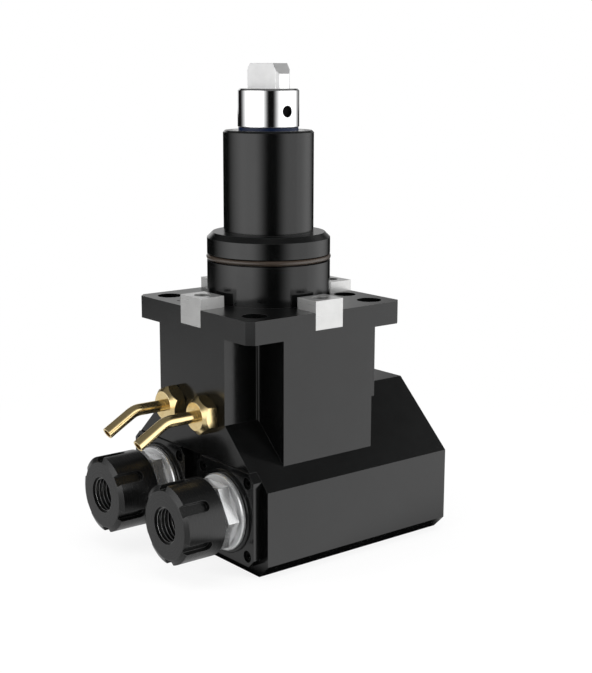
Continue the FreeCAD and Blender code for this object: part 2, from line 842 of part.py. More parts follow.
def build_input_drive():
    """Input shaft with its mitre teeth, bearings, collar, tang and seals."""
    journal = shaft_bearing_bore / 2
    seat = shaft_bearing_outside / 2
    hub = shaft_hub / 2
    small = bevel_small_radius

    body = new_body("input_shaft")
    place(body, z=-idler_depth)
    lift = idler_depth
    turn(body, "XZ_Plane", [[
        (0, small), (small * BEVEL_ROOT_SLOPE, small),
        (bevel_pitch_radius * BEVEL_ROOT_SLOPE, bevel_pitch_radius),
        (hub, bevel_pitch_radius + 2), (hub, lift - lower_bearing_seat),
        (journal, lift - lower_bearing_seat), (journal, lift + tang_root),
        (0, lift + tang_root)]])
    bevel_teeth(body, "XY_Plane", "Z_Axis")
    turn(body, "XZ_Plane", [[(r, a) for a, r in bevel_back()]], cut=True)

    body = new_body("drive_collar")
    collar = collar_diameter / 2
    spigot = collar_spigot / 2
    base = neck_top + seal_ring_height + fit_gap
    turn(body, "XZ_Plane", [[
        (journal, upper_bearing_top), (spigot, upper_bearing_top), (spigot, base),
        (collar - collar_chamfer / 2, base), (collar, base + collar_chamfer / 2),
        (collar, collar_top - collar_chamfer), (collar - collar_chamfer, collar_top),
        (0, collar_top), (0, tang_root), (journal, tang_root)]])
    sketch = new_sketch(body, "XY_Plane", collar_top)
    outline(sketch, tang_outline())
    pocket(body, sketch, collar_top - tang_root)
    sketch = new_sketch(body, "YZ_Plane", collar)
    circles(sketch, [(0, pin_height)], pin_diameter / 2)
    pocket(body, sketch, collar_diameter)

    body = new_body("drive_tang")
    sketch = new_sketch(body, "XY_Plane", tang_root)
    outline(sketch, tang_outline())
    pad(body, sketch, tang_top - tang_root)
    sketch = new_sketch(body, "XZ_Plane", tang_thickness)
    for side in (-1, 1):
        tip = tang_length / 2 * side
        outline(sketch, [(tip, tang_top - tang_chamfer * 1.5), (tip, tang_top),
                         (tip - tang_chamfer * side, tang_top)])
    pocket(body, sketch, tang_thickness * 2)
    sketch = new_sketch(body, "YZ_Plane", tang_length)
    circles(sketch, [(0, pin_height)], pin_diameter / 2)
    pocket(body, sketch, tang_length * 2)

    body = new_body("collar_pin")
    sketch = new_sketch(body, "YZ_Plane", pin_recess - collar)
    circles(sketch, [(0, pin_height)], pin_diameter / 2)
    pad(body, sketch, collar_diameter - pin_recess * 2)

    body = new_body("neck_retaining_ring")
    turn(body, "XZ_Plane", [upright_ring(retainer_bore / 2, seat, upper_bearing_top,
                                         neck_top)])
    body = new_body("neck_seal")
    turn(body, "XZ_Plane", [upright_ring(spigot + case_clearance,
                                         seal_ring_diameter / 2, neck_top,
                                         neck_top + seal_ring_height)])

    starts = bearing_places_input()
    body = new_body("input_outer_races")
    turn(body, "XZ_Plane", [upright_race(seat, start, False) for start in starts])
    body = new_body("input_inner_races")
    turn(body, "XZ_Plane", [upright_race(journal, start, True) for start in starts])
    lower = shaft_bearing_width - lower_bearing_seat
    body = new_body("outer_spacer_sleeve")
    turn(body, "XZ_Plane", [upright_ring(seat - race_thickness, seat, lower, starts[1])])
    body = new_body("inner_spacer_sleeve")
    turn(body, "XZ_Plane", [upright_ring(journal, journal + race_thickness, lower,
                                         starts[1])])


def tang_outline():
    """Plan outline of the drive tang with its corners cut."""
    half = tang_length / 2
    thick = tang_thickness / 2
    cut_x = half - tang_corner
    cut_y = thick - tang_corner
    return [(cut_x, -thick), (half, -cut_y), (half, cut_y), (cut_x, thick),
            (-cut_x, thick), (-half, cut_y), (-half, -cut_y), (-cut_x, -thick)]


def race(seat, outer, width, start, inner):
    """Half section of a race with its ball track and shield lip: (along, radius).

    seat is the fitted radius and outer the fitted radius of the other race.
    """
    middle = (seat + outer) / 2
    sign = 1 if inner else -1
    land = seat + race_thickness * sign
    lip = middle - race_gap / 2 * sign
    end = start + width - race_play
    return [(start, seat), (end, seat), (end, lip), (end - race_lip, lip),
            (end - race_lip, land), (start + race_lip, land), (start + race_lip, lip),
            (start, lip)]


def upright_race(seat, start, inner):
    """Race of the input shaft about the Z axis."""
    other = shaft_bearing_outside / 2 if inner else shaft_bearing_bore / 2
    points = race(seat, other, shaft_bearing_width, start, inner)
    return [(radius, along) for along, radius in points]


def level_races(label, bearing, starts, inner):
    """Races about the Y axis, in one node for one shaft."""
    bore, outside, width = bearing
    seat, other = bore / 2, outside / 2
    if not inner:
        seat, other = other, seat
    body = new_body(label)
    turn(body, "YZ_Plane", [race(seat, other, width, start, inner) for start in starts])
    return body


SPINDLE_BEARING = (spindle_bearing_bore, spindle_bearing_outside, spindle_bearing_width)
REAR_BEARING = (shaft_bearing_bore, shaft_bearing_outside, shaft_bearing_width)
IDLER_BEARING = (idler_bearing_bore, idler_bearing_outside, idler_bearing_width)


def build_idler():
    """Idler shaft with its mitre gear, spur gear, sleeves and races."""
    journal = idler_journal / 2
    end = rear_race_end
    starts = [-idler_front - idler_bearing_width, end - idler_bearing_width]
    hub_front = -idler_front

    body = new_body("idler_shaft")
    place(body, z=idler_z)
    turn(body, "YZ_Plane", [[(starts[0], 0), (end, 0), (end, journal),
                             (starts[0], journal)]])

    small = bevel_small_radius
    body = new_body("idler_bevel_gear")
    place(body, z=idler_z, axis=VECTOR(0, 1, 0), angle=as_size(180 / BEVEL_TEETH))
    turn(body, "YZ_Plane", [[
        (-small, journal), (-small, small * BEVEL_ROOT_SLOPE),
        (-bevel_pitch_radius, bevel_pitch_radius * BEVEL_ROOT_SLOPE),
        (hub_front, idler_sleeve / 2 + 1), (hub_front, journal)]])
    bevel_teeth(body, "XZ_Plane", "Y_Axis")
    turn(body, "YZ_Plane", [[(-a, r) for a, r in bevel_back()]], cut=True)

    body = spur_gear("idler_spur_gear", gear_front, idler_journal)
    place(body, z=idler_z, axis=VECTOR(0, 1, 0), angle=tilt)
    for label, start, finish in (
            ("idler_front_sleeve", -small, gear_front),
            ("idler_rear_sleeve", gear_front + gear_width, starts[1])):
        body = new_body(label)
        place(body, z=idler_z)
        turn(body, "YZ_Plane", [ring(journal, idler_sleeve / 2, start, finish)])
    place(level_races("idler_outer_races", IDLER_BEARING, starts, False), z=idler_z)
    place(level_races("idler_inner_races", IDLER_BEARING, starts, True), z=idler_z)


def build_spindle(name, side, nut_turn):
    """One spindle with its collet, nut, gear, sleeve, lock nut and races."""
    x = spindle_offset * side
    thread = nose_thread / 2
    hub = hub_diameter / 2
    journal = spindle_bearing_bore / 2
    rear_journal = shaft_bearing_bore / 2
    seat = gear_seat / 2
    disc_rear = cover_front + cover_boss_height + axial_gap
    disc = disc_diameter / 2
    taper_end = taper_length - nose_front
    shoulder = rear_race_end - shaft_bearing_width

    body = new_body(f"spindle_{name}")
    place(body, x=x, z=spindle_z)
    turn(body, "YZ_Plane", [[
        (-nose_front, taper_mouth / 2), (taper_end, taper_rear / 2),
        (taper_end, taper_rear / 2 - 1), (-front_race, taper_rear / 2 - 1),
        (-front_race, 0),
        (rear_race_end, 0), (rear_race_end, rear_journal), (shoulder, rear_journal),
        (shoulder, seat), (gear_front, seat), (gear_front, journal),
        (-front_race, journal), (-front_race, hub), (-disc_rear, hub),
        (-disc_rear, disc), (-disc_front + disc_edge, disc),
        (-disc_front, disc - disc_edge), (-disc_front, thread + 1),
        (-hex_rear, thread + 1), (-hex_rear, thread),
        (thread_chamfer - nose_front, thread), (-nose_front, thread - thread_chamfer)]])
    sketch = new_sketch(body, "XZ_Plane", hex_rear)
    polygon(sketch, (0, 0), 6, hex_flats / 2, 0)
    circles(sketch, [(0, 0)], thread - 0.5)
    pad(body, sketch, hex_front - hex_rear)

    body = new_body(f"collet_{name}")
    place(body, x=x, z=spindle_z)
    bore = collet_bore / 2
    mouth = taper_mouth / 2
    along = -nose_front - collet_face
    points = [(-nose_front, mouth), (along, mouth - collet_lip), (along, bore)]
    half = collet_groove_pitch / 2
    for index in range(COLLET_GROOVES):
        middle = along + collet_groove_pitch * (index + 0.75)
        points += [(middle - half / 2, bore), (middle, bore + collet_groove),
                   (middle + half / 2, bore)]
    waist = along + collet_groove_pitch * (COLLET_GROOVES + 0.5)
    grip = collet_grip / 2
    points += [(waist, bore), (waist + bore - grip, grip), (taper_end, grip),
               (taper_end, taper_rear / 2)]
    turn(body, "YZ_Plane", [points])
    sketch = new_sketch(body, "XY_Plane")
    outline(sketch, rectangle(-collet_slit / 2, collet_slit / 2, waist + 2, taper_end))
    slit = pocket(body, sketch, mouth, True)
    pattern(body, slit, "Y_Axis", COLLET_SLITS)

    build_collet_nut(name, side, nut_turn)

    half_tooth = 180 / SPUR_TEETH
    mesh_angle = tilt if side > 0 else -tilt * 3
    body = spur_gear(f"spindle_gear_{name}", gear_front, gear_seat)
    place(body, x=x, z=spindle_z, axis=VECTOR(0, 1, 0),
          angle=mesh_angle + half_tooth)

    gear_rear = gear_front + gear_width
    body = new_body(f"spindle_sleeve_{name}")
    place(body, x=x, z=spindle_z)
    turn(body, "YZ_Plane", [ring(journal, journal + sleeve_wall, -spindle_shoulder,
                                 gear_front)])
    body = new_body(f"gear_lock_nut_{name}")
    place(body, x=x, z=spindle_z)
    turn(body, "YZ_Plane", [ring(seat, lock_nut_diameter / 2, gear_rear,
                                 gear_rear + lock_nut_width)])
    sketch = new_sketch(body, "XY_Plane", lock_nut_diameter / 2)
    outline(sketch, rectangle(-2, 2, gear_rear, gear_rear + lock_nut_width))
    slot = pocket(body, sketch, 2)
    pattern(body, slot, "Y_Axis", 4)

    fronts = [-front_race, spindle_bearing_width - front_race]
    rears = [rear_race_end - shaft_bearing_width]
    for label, bearing, starts, inner in (
            (f"front_outer_races_{name}", SPINDLE_BEARING, fronts, False),
            (f"front_inner_races_{name}", SPINDLE_BEARING, fronts, True),
            (f"rear_outer_race_{name}", REAR_BEARING, rears, False),
            (f"rear_inner_race_{name}", REAR_BEARING, rears, True)):
        place(level_races(label, bearing, starts, inner), x=x, z=spindle_z)


def build_collet_nut(name, side, nut_turn):
    """Collet nut with its conical face and six spanner slots."""
    body = new_body(f"collet_nut_{name}")
    place(body, x=spindle_offset * side, z=spindle_z, axis=VECTOR(0, 1, 0),
          angle=as_size(nut_turn))
    outer = nut_diameter / 2
    thread = nose_thread / 2
    lip = taper_mouth / 2
    face = -nose_front - collet_face
    turn(body, "YZ_Plane", [[
        (-nut_front, nut_bore / 2), (-nut_front, nut_face / 2),
        (nut_face_drop - nut_front, outer), (-nut_rear - nut_rear_chamfer, outer),
        (-nut_rear, outer - nut_rear_chamfer), (-nut_rear, thread + 1),
        (-nut_rear - 1, thread), (-nose_front, thread), (-nose_front, lip),
        (face, lip - collet_lip), (face, nut_bore / 2)]])
    half = nut_slot_width / 2
    end = nut_slot_length - nut_front
    sketch = new_sketch(body, "XY_Plane", outer - nut_slot_depth)
    outline(sketch, [(-half, -nut_front - 1), (half, -nut_front - 1),
                     (half, end - half, (0, end - half), "y"), (-half, end - half)])
    slot = pocket(body, sketch, nut_slot_depth + 1, True)
    pattern(body, slot, "Y_Axis", NUT_SLOTS)


def build_front_cover(name, side):
    """Square bearing cover with its boss, spigot and seal recess."""
    body = new_body(f"front_cover_{name}")
    place(body, x=spindle_offset * side, z=spindle_z)
    sketch = new_sketch(body, "XZ_Plane", case_front)
    outline(sketch, chamfered_square(cover_width / 2, cover_corner))
    pad(body, sketch, cover_thickness)
    boss = cover_boss / 2
    spigot = spindle_bearing_outside / 2 - fit_gap
    boss_face = cover_front + cover_boss_height
    turn(body, "YZ_Plane", [[
        (-case_front - 1, 0), (-case_front - 1, spigot), (-front_race, spigot),
        (-front_race, 0)]])
    turn(body, "YZ_Plane", [[
        (1 - cover_front, 0), (1 - cover_front, boss), (-cover_front, boss),
        (cover_boss_edge - boss_face, boss), (-boss_face, boss - cover_boss_edge),
        (-boss_face, 0)]])
    bore = hub_diameter / 2 + case_clearance
    turn(body, "YZ_Plane", [[
        (-cover_front - 2, 0), (-cover_front - 2, bore),
        (-front_race - seal_width, bore), (-front_race - seal_width, seal_diameter / 2),
        (-front_race + 1, seal_diameter / 2), (-front_race + 1, 0)]], cut=True)
    half = cover_hole_pitch / 2
    holes = [(half * x, half * z) for x in (-1, 1) for z in (-1, 1)]
    sketch = new_sketch(body, "XZ_Plane", cover_front)
    circles(sketch, holes, cover_screw_head / 2 + fit_gap)
    pocket(body, sketch, cover_screw_sink + cover_screw_recess)
    sketch = new_sketch(body, "XZ_Plane", cover_front)
    circles(sketch, holes, cover_screw_shank / 2)
    pocket(body, sketch, cover_thickness)


def build_covers():
    """Front covers, spindle seals, rear cover and their screws."""
    for name, side in (("right", 1), ("left", -1)):
        build_front_cover(name, side)
        body = new_body(f"spindle_seal_{name}")
        place(body, x=spindle_offset * side, z=spindle_z)
        turn(body, "YZ_Plane", [ring(hub_diameter / 2 + running_clearance,
                                     seal_diameter / 2, -front_race - seal_width,
                                     -front_race)])
    body = new_body("front_cover_screws")
    cap_screw(body, "XZ_Plane", cover_screw_places(), cover_front - cover_screw_recess,
              cover_screw_head, cover_screw_shank, cover_screw_length - 2, True)

    body = new_body("rear_cover")
    sketch = new_sketch(body, "XZ_Plane", -rear_cover_front)
    outline(sketch, rear_outline(rear_cover_inset + case_clearance))
    pad(body, sketch, rear_cover_thickness, True)
    spindles = [(-spindle_offset, spindle_z), (spindle_offset, spindle_z)]
    idler = [(0, idler_z)]
    for centres in (spindles, idler):
        sketch = new_sketch(body, "XZ_Plane", -rear_lobe_front)
        circles(sketch, centres, lobe_radius - case_clearance)
        pad(body, sketch, rear_lobe_length, True)
    for centres, bearing, start in (
            (spindles, REAR_BEARING, rear_lobe_front),
            (idler, IDLER_BEARING, rear_lobe_front)):
        sketch = new_sketch(body, "XZ_Plane", -start)
        circles(sketch, centres, bearing[1] / 2)
        pocket(body, sketch, rear_race_end - start)
        sketch = new_sketch(body, "XZ_Plane", -start)
        circles(sketch, centres, bearing[1] / 2 - seat_shoulder - 1)
        pocket(body, sketch, rear_race_end - start + bearing_relief)
    sketch = new_sketch(body, "XZ_Plane", -rear_cover_front - rear_cover_thickness)
    circles(sketch, rear_screw_places(), rear_screw_head / 2 + fit_gap)
    pocket(body, sketch, rear_screw_sink, True)
    sketch = new_sketch(body, "XZ_Plane", -rear_cover_front - rear_cover_thickness)
    circles(sketch, rear_screw_places(), rear_screw_shank / 2)
    pocket(body, sketch, rear_cover_thickness + rear_lobe_length, True)
    body = new_body("rear_cover_screws")
    head_face = rear_cover_front + rear_cover_thickness - rear_screw_sink + rear_screw_shank
    cap_screw(body, "XZ_Plane", rear_screw_places(), -head_face, rear_screw_head,
              rear_screw_shank, rear_screw_length - 2, False)


def build_nozzle(name, side, corner_angle):
    """Hexagonal nozzle body and its bent tube."""
    x = nozzle_offset * side
    flats = nozzle_flats / 2
    body = new_body(f"nozzle_body_{name}")
    place(body, x=x, z=nozzle_z)
    sketch = new_sketch(body, "XZ_Plane", flange_half)
    polygon(sketch, (0, 0), 6, flats, corner_angle)
    pad(body, sketch, nozzle_front - flange_half)
    sketch = new_sketch(body, "XZ_Plane", flange_half)
    circles(sketch, [(0, 0)], nozzle_thread / 2)
    pad(body, sketch, nozzle_reach, True)
    face = nozzle_face / 2
    rim = nozzle_flats
    turn(body, "YZ_Plane", [[(-nozzle_front, face), (-nozzle_front, rim),
                             (rim - face - nozzle_front, rim)],
                            [(-flange_half, flats), (-flange_half, rim),
                             (-flange_half - nozzle_rear_bevel, rim)]], cut=True)
    sketch = new_sketch(body, "XZ_Plane", nozzle_front)
    circles(sketch, [(0, 0)], tube_outside / 2 + running_clearance)
    pocket(body, sketch, tube_socket)
    sketch = new_sketch(body, "XZ_Plane", nozzle_front)
    circles(sketch, [(0, 0)], tube_bore / 2)
    pocket(body, sketch, nozzle_front)

    body = new_body(f"nozzle_tube_{name}")
    place(body, x=x, z=nozzle_z)
    start = tube_socket - nozzle_front
    reach = tube_bend_radius * sine(tube_angle / 2) / cosine(tube_angle / 2)
    spine = new_sketch(body, "YZ_Plane")
    outline(spine, [
        (start, 0),
        (reach - tube_bend, 0, (reach - tube_bend, -tube_bend_radius), "y"),
        (-tube_bend - reach * cosine(tube_angle), -(reach * sine(tube_angle))),
        (-tube_bend - tube_end * cosine(tube_angle), -(tube_end * sine(tube_angle)))],
        closed=False)
    for kind, radius in (("Additive", tube_outside / 2), ("Subtractive", tube_bore / 2)):
        section = new_sketch(body, "XZ_Plane", -start)
        circles(section, [(0, 0)], radius)
        pipe = body.newObject(f"PartDesign::{kind}Pipe", f"{body.Name}_{kind.lower()}")
        pipe.Profile = section
        pipe.Spine = (spine, [])
        body.Tip = pipe


def check_document():
    """Stop if an object failed or a piece has no valid solid."""
    doc.recompute()
    for item in doc.Objects:
        if "Invalid" in item.State or "Error" in item.State:
            raise RuntimeError(f"{item.Name} failed: {item.State}")
    for label in new_body.labels:
        shape = doc.getObject(label).Shape
        if shape.isNull() or not shape.isValid() or not shape.Solids:
            raise RuntimeError(f"{label} has no valid solid")


def export_pieces():
    """Write every piece as its own STEP file."""
    os.makedirs("parts", exist_ok=True)
    for label in new_body.labels:
        body = doc.getObject(label)
        body.Shape.exportStep(f"parts/{label}.step")
        print(label, len(body.Shape.Solids), round(body.Shape.Volume, 1))


build_housing()
build_flange_fittings()
build_input_drive()
build_idler()
build_spindle("right", 1, -6)
build_spindle("left", -1, -7)
build_covers()
build_nozzle("right", 1, 33)
build_nozzle("left", -1, 23)
check_document()
export_pieces()
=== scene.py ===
# %% [markdown]
# # A live tool holder, dressed for its picture
# The CAD model gives every shape and every size. This lesson adds what CAD leaves out: the finish
# of each metal, screws with threads and knurled heads, a camera and soft studio light. All
# lengths are in metres and every piece stays where the CAD has it.

# %% Load the frame
import math

import bmesh
import bpy
from mathutils import Matrix, Vector


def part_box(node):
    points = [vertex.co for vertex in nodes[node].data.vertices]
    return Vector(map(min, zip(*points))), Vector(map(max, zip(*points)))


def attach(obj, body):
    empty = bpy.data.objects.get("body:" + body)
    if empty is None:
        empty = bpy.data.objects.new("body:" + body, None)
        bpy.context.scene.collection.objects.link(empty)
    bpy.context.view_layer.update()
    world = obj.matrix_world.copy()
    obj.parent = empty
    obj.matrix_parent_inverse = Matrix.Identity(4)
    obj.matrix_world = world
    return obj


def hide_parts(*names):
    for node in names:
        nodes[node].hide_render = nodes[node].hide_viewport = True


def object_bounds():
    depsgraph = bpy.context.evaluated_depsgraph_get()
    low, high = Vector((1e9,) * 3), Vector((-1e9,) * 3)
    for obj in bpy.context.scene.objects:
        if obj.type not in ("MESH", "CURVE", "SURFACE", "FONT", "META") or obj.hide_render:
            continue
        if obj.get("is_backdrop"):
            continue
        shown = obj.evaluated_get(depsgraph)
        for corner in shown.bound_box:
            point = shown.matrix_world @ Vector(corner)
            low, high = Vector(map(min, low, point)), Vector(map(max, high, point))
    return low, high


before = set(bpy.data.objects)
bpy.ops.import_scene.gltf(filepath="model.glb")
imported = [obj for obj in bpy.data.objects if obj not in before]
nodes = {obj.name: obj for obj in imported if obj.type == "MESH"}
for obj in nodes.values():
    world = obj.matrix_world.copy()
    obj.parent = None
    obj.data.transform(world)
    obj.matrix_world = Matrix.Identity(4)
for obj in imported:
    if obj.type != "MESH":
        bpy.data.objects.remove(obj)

MM = 0.001
cad_box = [list(corner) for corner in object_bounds()]

# %% [markdown]
# ## The camera
# A product photograph like this one is taken with a long lens, a little above the object, so
# uprights stay nearly parallel. The camera could be aimed by eye, but then proportions never
# quite agree. Here its place was worked out from the corners of the flange and of the gear case,
# and it is written down as a place, a turn, a slope and a lens.

# %% Set up the camera
CAMERA_PLACE = Vector((456.2, -350.2, 99.9)) * MM
CAMERA_TURN = math.radians(51.256)
CAMERA_SLOPE = math.radians(11.572)
CAMERA_ROLL = math.radians(0.177)
LENS_MM = 69.245


def add_camera():
    """Camera at the photograph's place, with its turn about +Z, its slope and its roll."""
    data = bpy.data.cameras.new("studio_camera")
    data.sensor_fit = "VERTICAL"
    data.sensor_height = 36
    data.lens = LENS_MM
    data.clip_start = 0.01
    data.clip_end = 20
    camera = bpy.data.objects.new("studio_camera", data)
    bpy.context.scene.collection.objects.link(camera)
    turn = Matrix.Rotation(CAMERA_TURN, 4, "Z")
    tilt = Matrix.Rotation(math.pi / 2 - CAMERA_SLOPE, 4, "X")
    roll = Matrix.Rotation(CAMERA_ROLL, 4, "Z")
    camera.matrix_world = Matrix.Translation(CAMERA_PLACE) @ turn @ tilt @ roll
    bpy.context.scene.camera = camera
    return camera


camera = add_camera()
print("camera looks along", [round(c, 3) for c in -camera.matrix_world.col[2].xyz])

# %% [markdown]
# ## One helper for every node tree
# Screws, finishes and the room are all made of nodes: the screws of geometry nodes, the rest of
# shader nodes. Nodes could be drawn by hand in an editor, but a script keeps them where they can
# be read. A short helper adds a node, sets its inputs and wires a socket to a socket, so that a
# tree reads as a recipe.

# %% Helper for node trees
class Graph:
    """A node tree under construction."""

    def __init__(self, tree):
        self.tree = tree

    def fill(self, node, socket, value):
        """Set one input of a node, or wire it when value is a socket."""
        target = node.inputs[socket]
        if isinstance(value, bpy.types.NodeSocket):
            self.tree.links.new(value, target)
        else:
            target.default_value = value

    def add(self, kind, settings=(), **inputs):
        """Add a node, with settings as (name, value) pairs and inputs by name or i0, i1."""
        node = self.tree.nodes.new(kind)
        for name, value in settings:
            setattr(node, name, value)
        for socket, value in inputs.items():
            number = socket[1:]
            self.fill(node, int(number) if number.isdigit() else socket.replace("_", " "),
                      value)
        return node

    def math(self, operation, first, second=0.0):
        """Result of one sum."""
        return self.add("ShaderNodeMath", [("operation", operation)], i0=first,
                        i1=second).outputs[0]

    def product(self, first, *others):
        """Product of several values."""
        for other in others:
            first = self.math("MULTIPLY", first, other)
        return first

    def vector(self, operation, first, second=(0, 0, 0)):
        """Result of one sum of vectors."""
        return self.add("ShaderNodeVectorMath", [("operation", operation)], i0=first,
                        i1=second).outputs[0]

    def split(self, vector):
        """The three parts of a vector."""
        return tuple(self.add("ShaderNodeSeparateXYZ", i0=vector).outputs)

    def joined(self, x, y, z):
        """Vector of three parts."""
        return self.add("ShaderNodeCombineXYZ", i0=x, i1=y, i2=z).outputs[0]

    def length(self, first, second):
        """Length of a line from its two legs."""
        return self.math("SQRT", self.math("ADD", self.product(first, first),
                                           self.product(second, second)))

    def spread(self, value, low, high, start=0.3, end=0.7, shape="LINEAR"):
        """Go from low to high while the value goes from start to end."""
        node = self.add("ShaderNodeMapRange", [("interpolation_type", shape)], i0=value)
        for place, level in ((1, start), (2, end), (3, low), (4, high)):
            self.fill(node, place, level)
        return node.outputs[0]


print("helper ready:", Graph.__name__)

# %% [markdown]
# ## Where the screws are
# The CAD has a plain solid for each screw, several in one node. Typing their places in again
# would go wrong when a size changes, so the script finds them: it merges a copy of the node's
# loose triangles, walks from point to point until a solid is complete, and notes its box.

# %% Find the separate solids of a node
def solid_boxes(name):
    """Lowest and highest corner of each separate solid of a CAD node."""
    copy = bmesh.new()
    copy.from_mesh(nodes[name].data)
    bmesh.ops.remove_doubles(copy, verts=copy.verts, dist=0.001 * MM)
    waiting = set(copy.verts)
    boxes = []
    while waiting:
        reached = [waiting.pop()]
        for vert in reached:
            for edge in vert.link_edges:
                other = edge.other_vert(vert)
                if other in waiting:
                    waiting.remove(other)
                    reached.append(other)
        corners = [[pick(v.co[i] for v in reached) for i in range(3)] for pick in (min, max)]
        boxes.append([Vector(corner) for corner in corners])
    copy.free()
    return boxes


for name in ("key_screws", "front_cover_screws", "rear_cover_screws"):
    boxes = solid_boxes(name)
    low, high = boxes[0]
    print(name, len(boxes), "solids of", [round(v / MM, 2) for v in high - low], "mm")

# %% [markdown]
# ## A socket screw from geometry nodes
# A cap screw has a knurled head with a bevelled rim, a hexagon socket whose bottom is a drill
# point, and a thread that ends in a bevel. Seventeen of them hold this holder together. One
# could be modelled and copied by hand, but here a tree of geometry nodes grows it from a few
# sizes, rim by rim as on a lathe: an open rim is pulled along the axis and scaled to the next
# size. The class below holds that step, and two more that close seams and move points in or out.

# %% Growing a turned piece from rim to rim
SCREW_SIZES = {"Head radius": 3.5 * MM, "Head height": 4.0 * MM, "Rim bevel": 0.35 * MM,
               "Knurl depth": 0.09 * MM, "Socket radius": 1.7 * MM, "Socket depth": 2.0 * MM,
               "Shank radius": 2.0 * MM, "Shank length": 10.0 * MM, "Pitch": 0.7 * MM,
               "Thread depth": 0.3 * MM}


class Turned(Graph):
    """Geometry nodes that grow a turned piece about the Z axis from rim to rim."""

    def __init__(self, name, sizes):
        super().__init__(bpy.data.node_groups.new(name, "GeometryNodeTree"))
        face = self.tree.interface
        face.new_socket("Geometry", in_out="INPUT", socket_type="NodeSocketGeometry")
        for label, value in sizes.items():
            socket = face.new_socket(label, in_out="INPUT", socket_type="NodeSocketFloat")
            socket.default_value = value
        face.new_socket("Facing", in_out="INPUT", socket_type="NodeSocketVector")
        face.new_socket("Seed", in_out="INPUT", socket_type="NodeSocketInt")
        face.new_socket("Finish", in_out="INPUT", socket_type="NodeSocketMaterial")
        face.new_socket("Geometry", in_out="OUTPUT", socket_type="NodeSocketGeometry")
        self.sizes = self.add("NodeGroupInput").outputs
        self.place = self.add("GeometryNodeInputPosition").outputs[0]
        self.x, self.y, self.height = self.split(self.place)
        self.radius = self.length(self.x, self.y)
        self.turns = self.math("DIVIDE", self.math("ARCTAN2", self.y, self.x), math.tau)

    def open_rim(self, test, limit):
        """Edges with one face only, outside or inside a radius."""
        faces = self.add("GeometryNodeInputMeshEdgeNeighbors").outputs[0]
        return self.product(self.math("LESS_THAN", faces, 1.5),
                            self.math(test, self.radius, limit))

    def pull(self, mesh, rim, drop, size):
        """Pull a rim down by drop and scale it by size."""
        down = self.joined(0.0, 0.0, self.product(drop, -1.0) if drop else 0.0)
        wall = self.add("GeometryNodeExtrudeMesh", [("mode", "EDGES")], Mesh=mesh,
                        Selection=rim, Offset=down)
        scaled = self.vector("MULTIPLY", self.place, self.joined(size, size, 1.0))
        moved = self.add("GeometryNodeSetPosition", Geometry=wall.outputs["Mesh"],
                         Selection=wall.outputs["Top"], Position=scaled)
        return moved.outputs[0], wall.outputs["Top"]

    def merged(self, *parts):
        """Join parts and close the seams between them."""
        whole = self.add("GeometryNodeJoinGeometry")
        for part in parts:
            self.tree.links.new(part, whole.inputs[0])
        return self.add("GeometryNodeMergeByDistance", Geometry=whole.outputs[0],
                        Distance=0.002 * MM).outputs[0]

    def shaped(self, mesh, points, factor):
        """Scale the distance of some points from the axis by a factor."""
        scaled = self.vector("MULTIPLY", self.place, self.joined(factor, factor, 1.0))
        return self.add("GeometryNodeSetPosition", Geometry=mesh, Selection=points,
                        Position=scaled).outputs[0]


print("a screw has", len(SCREW_SIZES), "sizes")

# %% [markdown]
# ## The head
# The head starts as a flat ring between the rim and the hexagon, filled between two circles.
# Its inner rim goes down as the wall of the socket and closes to a drill point. Its outer rim
# goes out over the bevel, down the wall and in under the head to the shank.

# %% The head of a screw
SCREW_SIDES = 48


def head(form):
    """Head with its rim bevel, wall, underside and socket, open where the shank begins."""
    size = form.sizes
    top = form.math("SUBTRACT", size["Head radius"], size["Rim bevel"])
    rings = [form.add("GeometryNodeCurvePrimitiveCircle", Resolution=sides,
                      Radius=radius).outputs[0]
             for sides, radius in ((SCREW_SIDES, top), (6, size["Socket radius"]))]
    both = form.add("GeometryNodeJoinGeometry")
    for ring in rings:
        form.tree.links.new(ring, both.inputs[0])
    flat = form.add("GeometryNodeFillCurve", Curve=both.outputs[0]).outputs[0]
    middle = form.math("DIVIDE", form.math("ADD", top, size["Socket radius"]), 2.0)
    mesh, rim = form.pull(flat, form.open_rim("LESS_THAN", middle), size["Socket depth"], 1.0)
    mesh, _ = form.pull(mesh, rim, form.product(size["Socket radius"], 0.5), 0.0)
    outside = form.open_rim("GREATER_THAN", middle)
    mesh, rim = form.pull(mesh, outside, size["Rim bevel"],
                          form.math("DIVIDE", size["Head radius"], top))
    wall = form.math("SUBTRACT", size["Head height"], size["Rim bevel"])
    mesh, rim = form.pull(mesh, rim, wall, 1.0)
    mesh, _ = form.pull(mesh, rim, None,
                        form.math("DIVIDE", size["Shank radius"], size["Head radius"]))
    return mesh


print("round parts have", SCREW_SIDES, "sides")

# %% [markdown]
# ## The shank
# The shank is a tube with many rings, because the thread is cut by moving them. It joins the
# head's open rim, and its own end is pulled to a bevel and closed.

# %% The shank under the head
RINGS_PER_TURN = 4


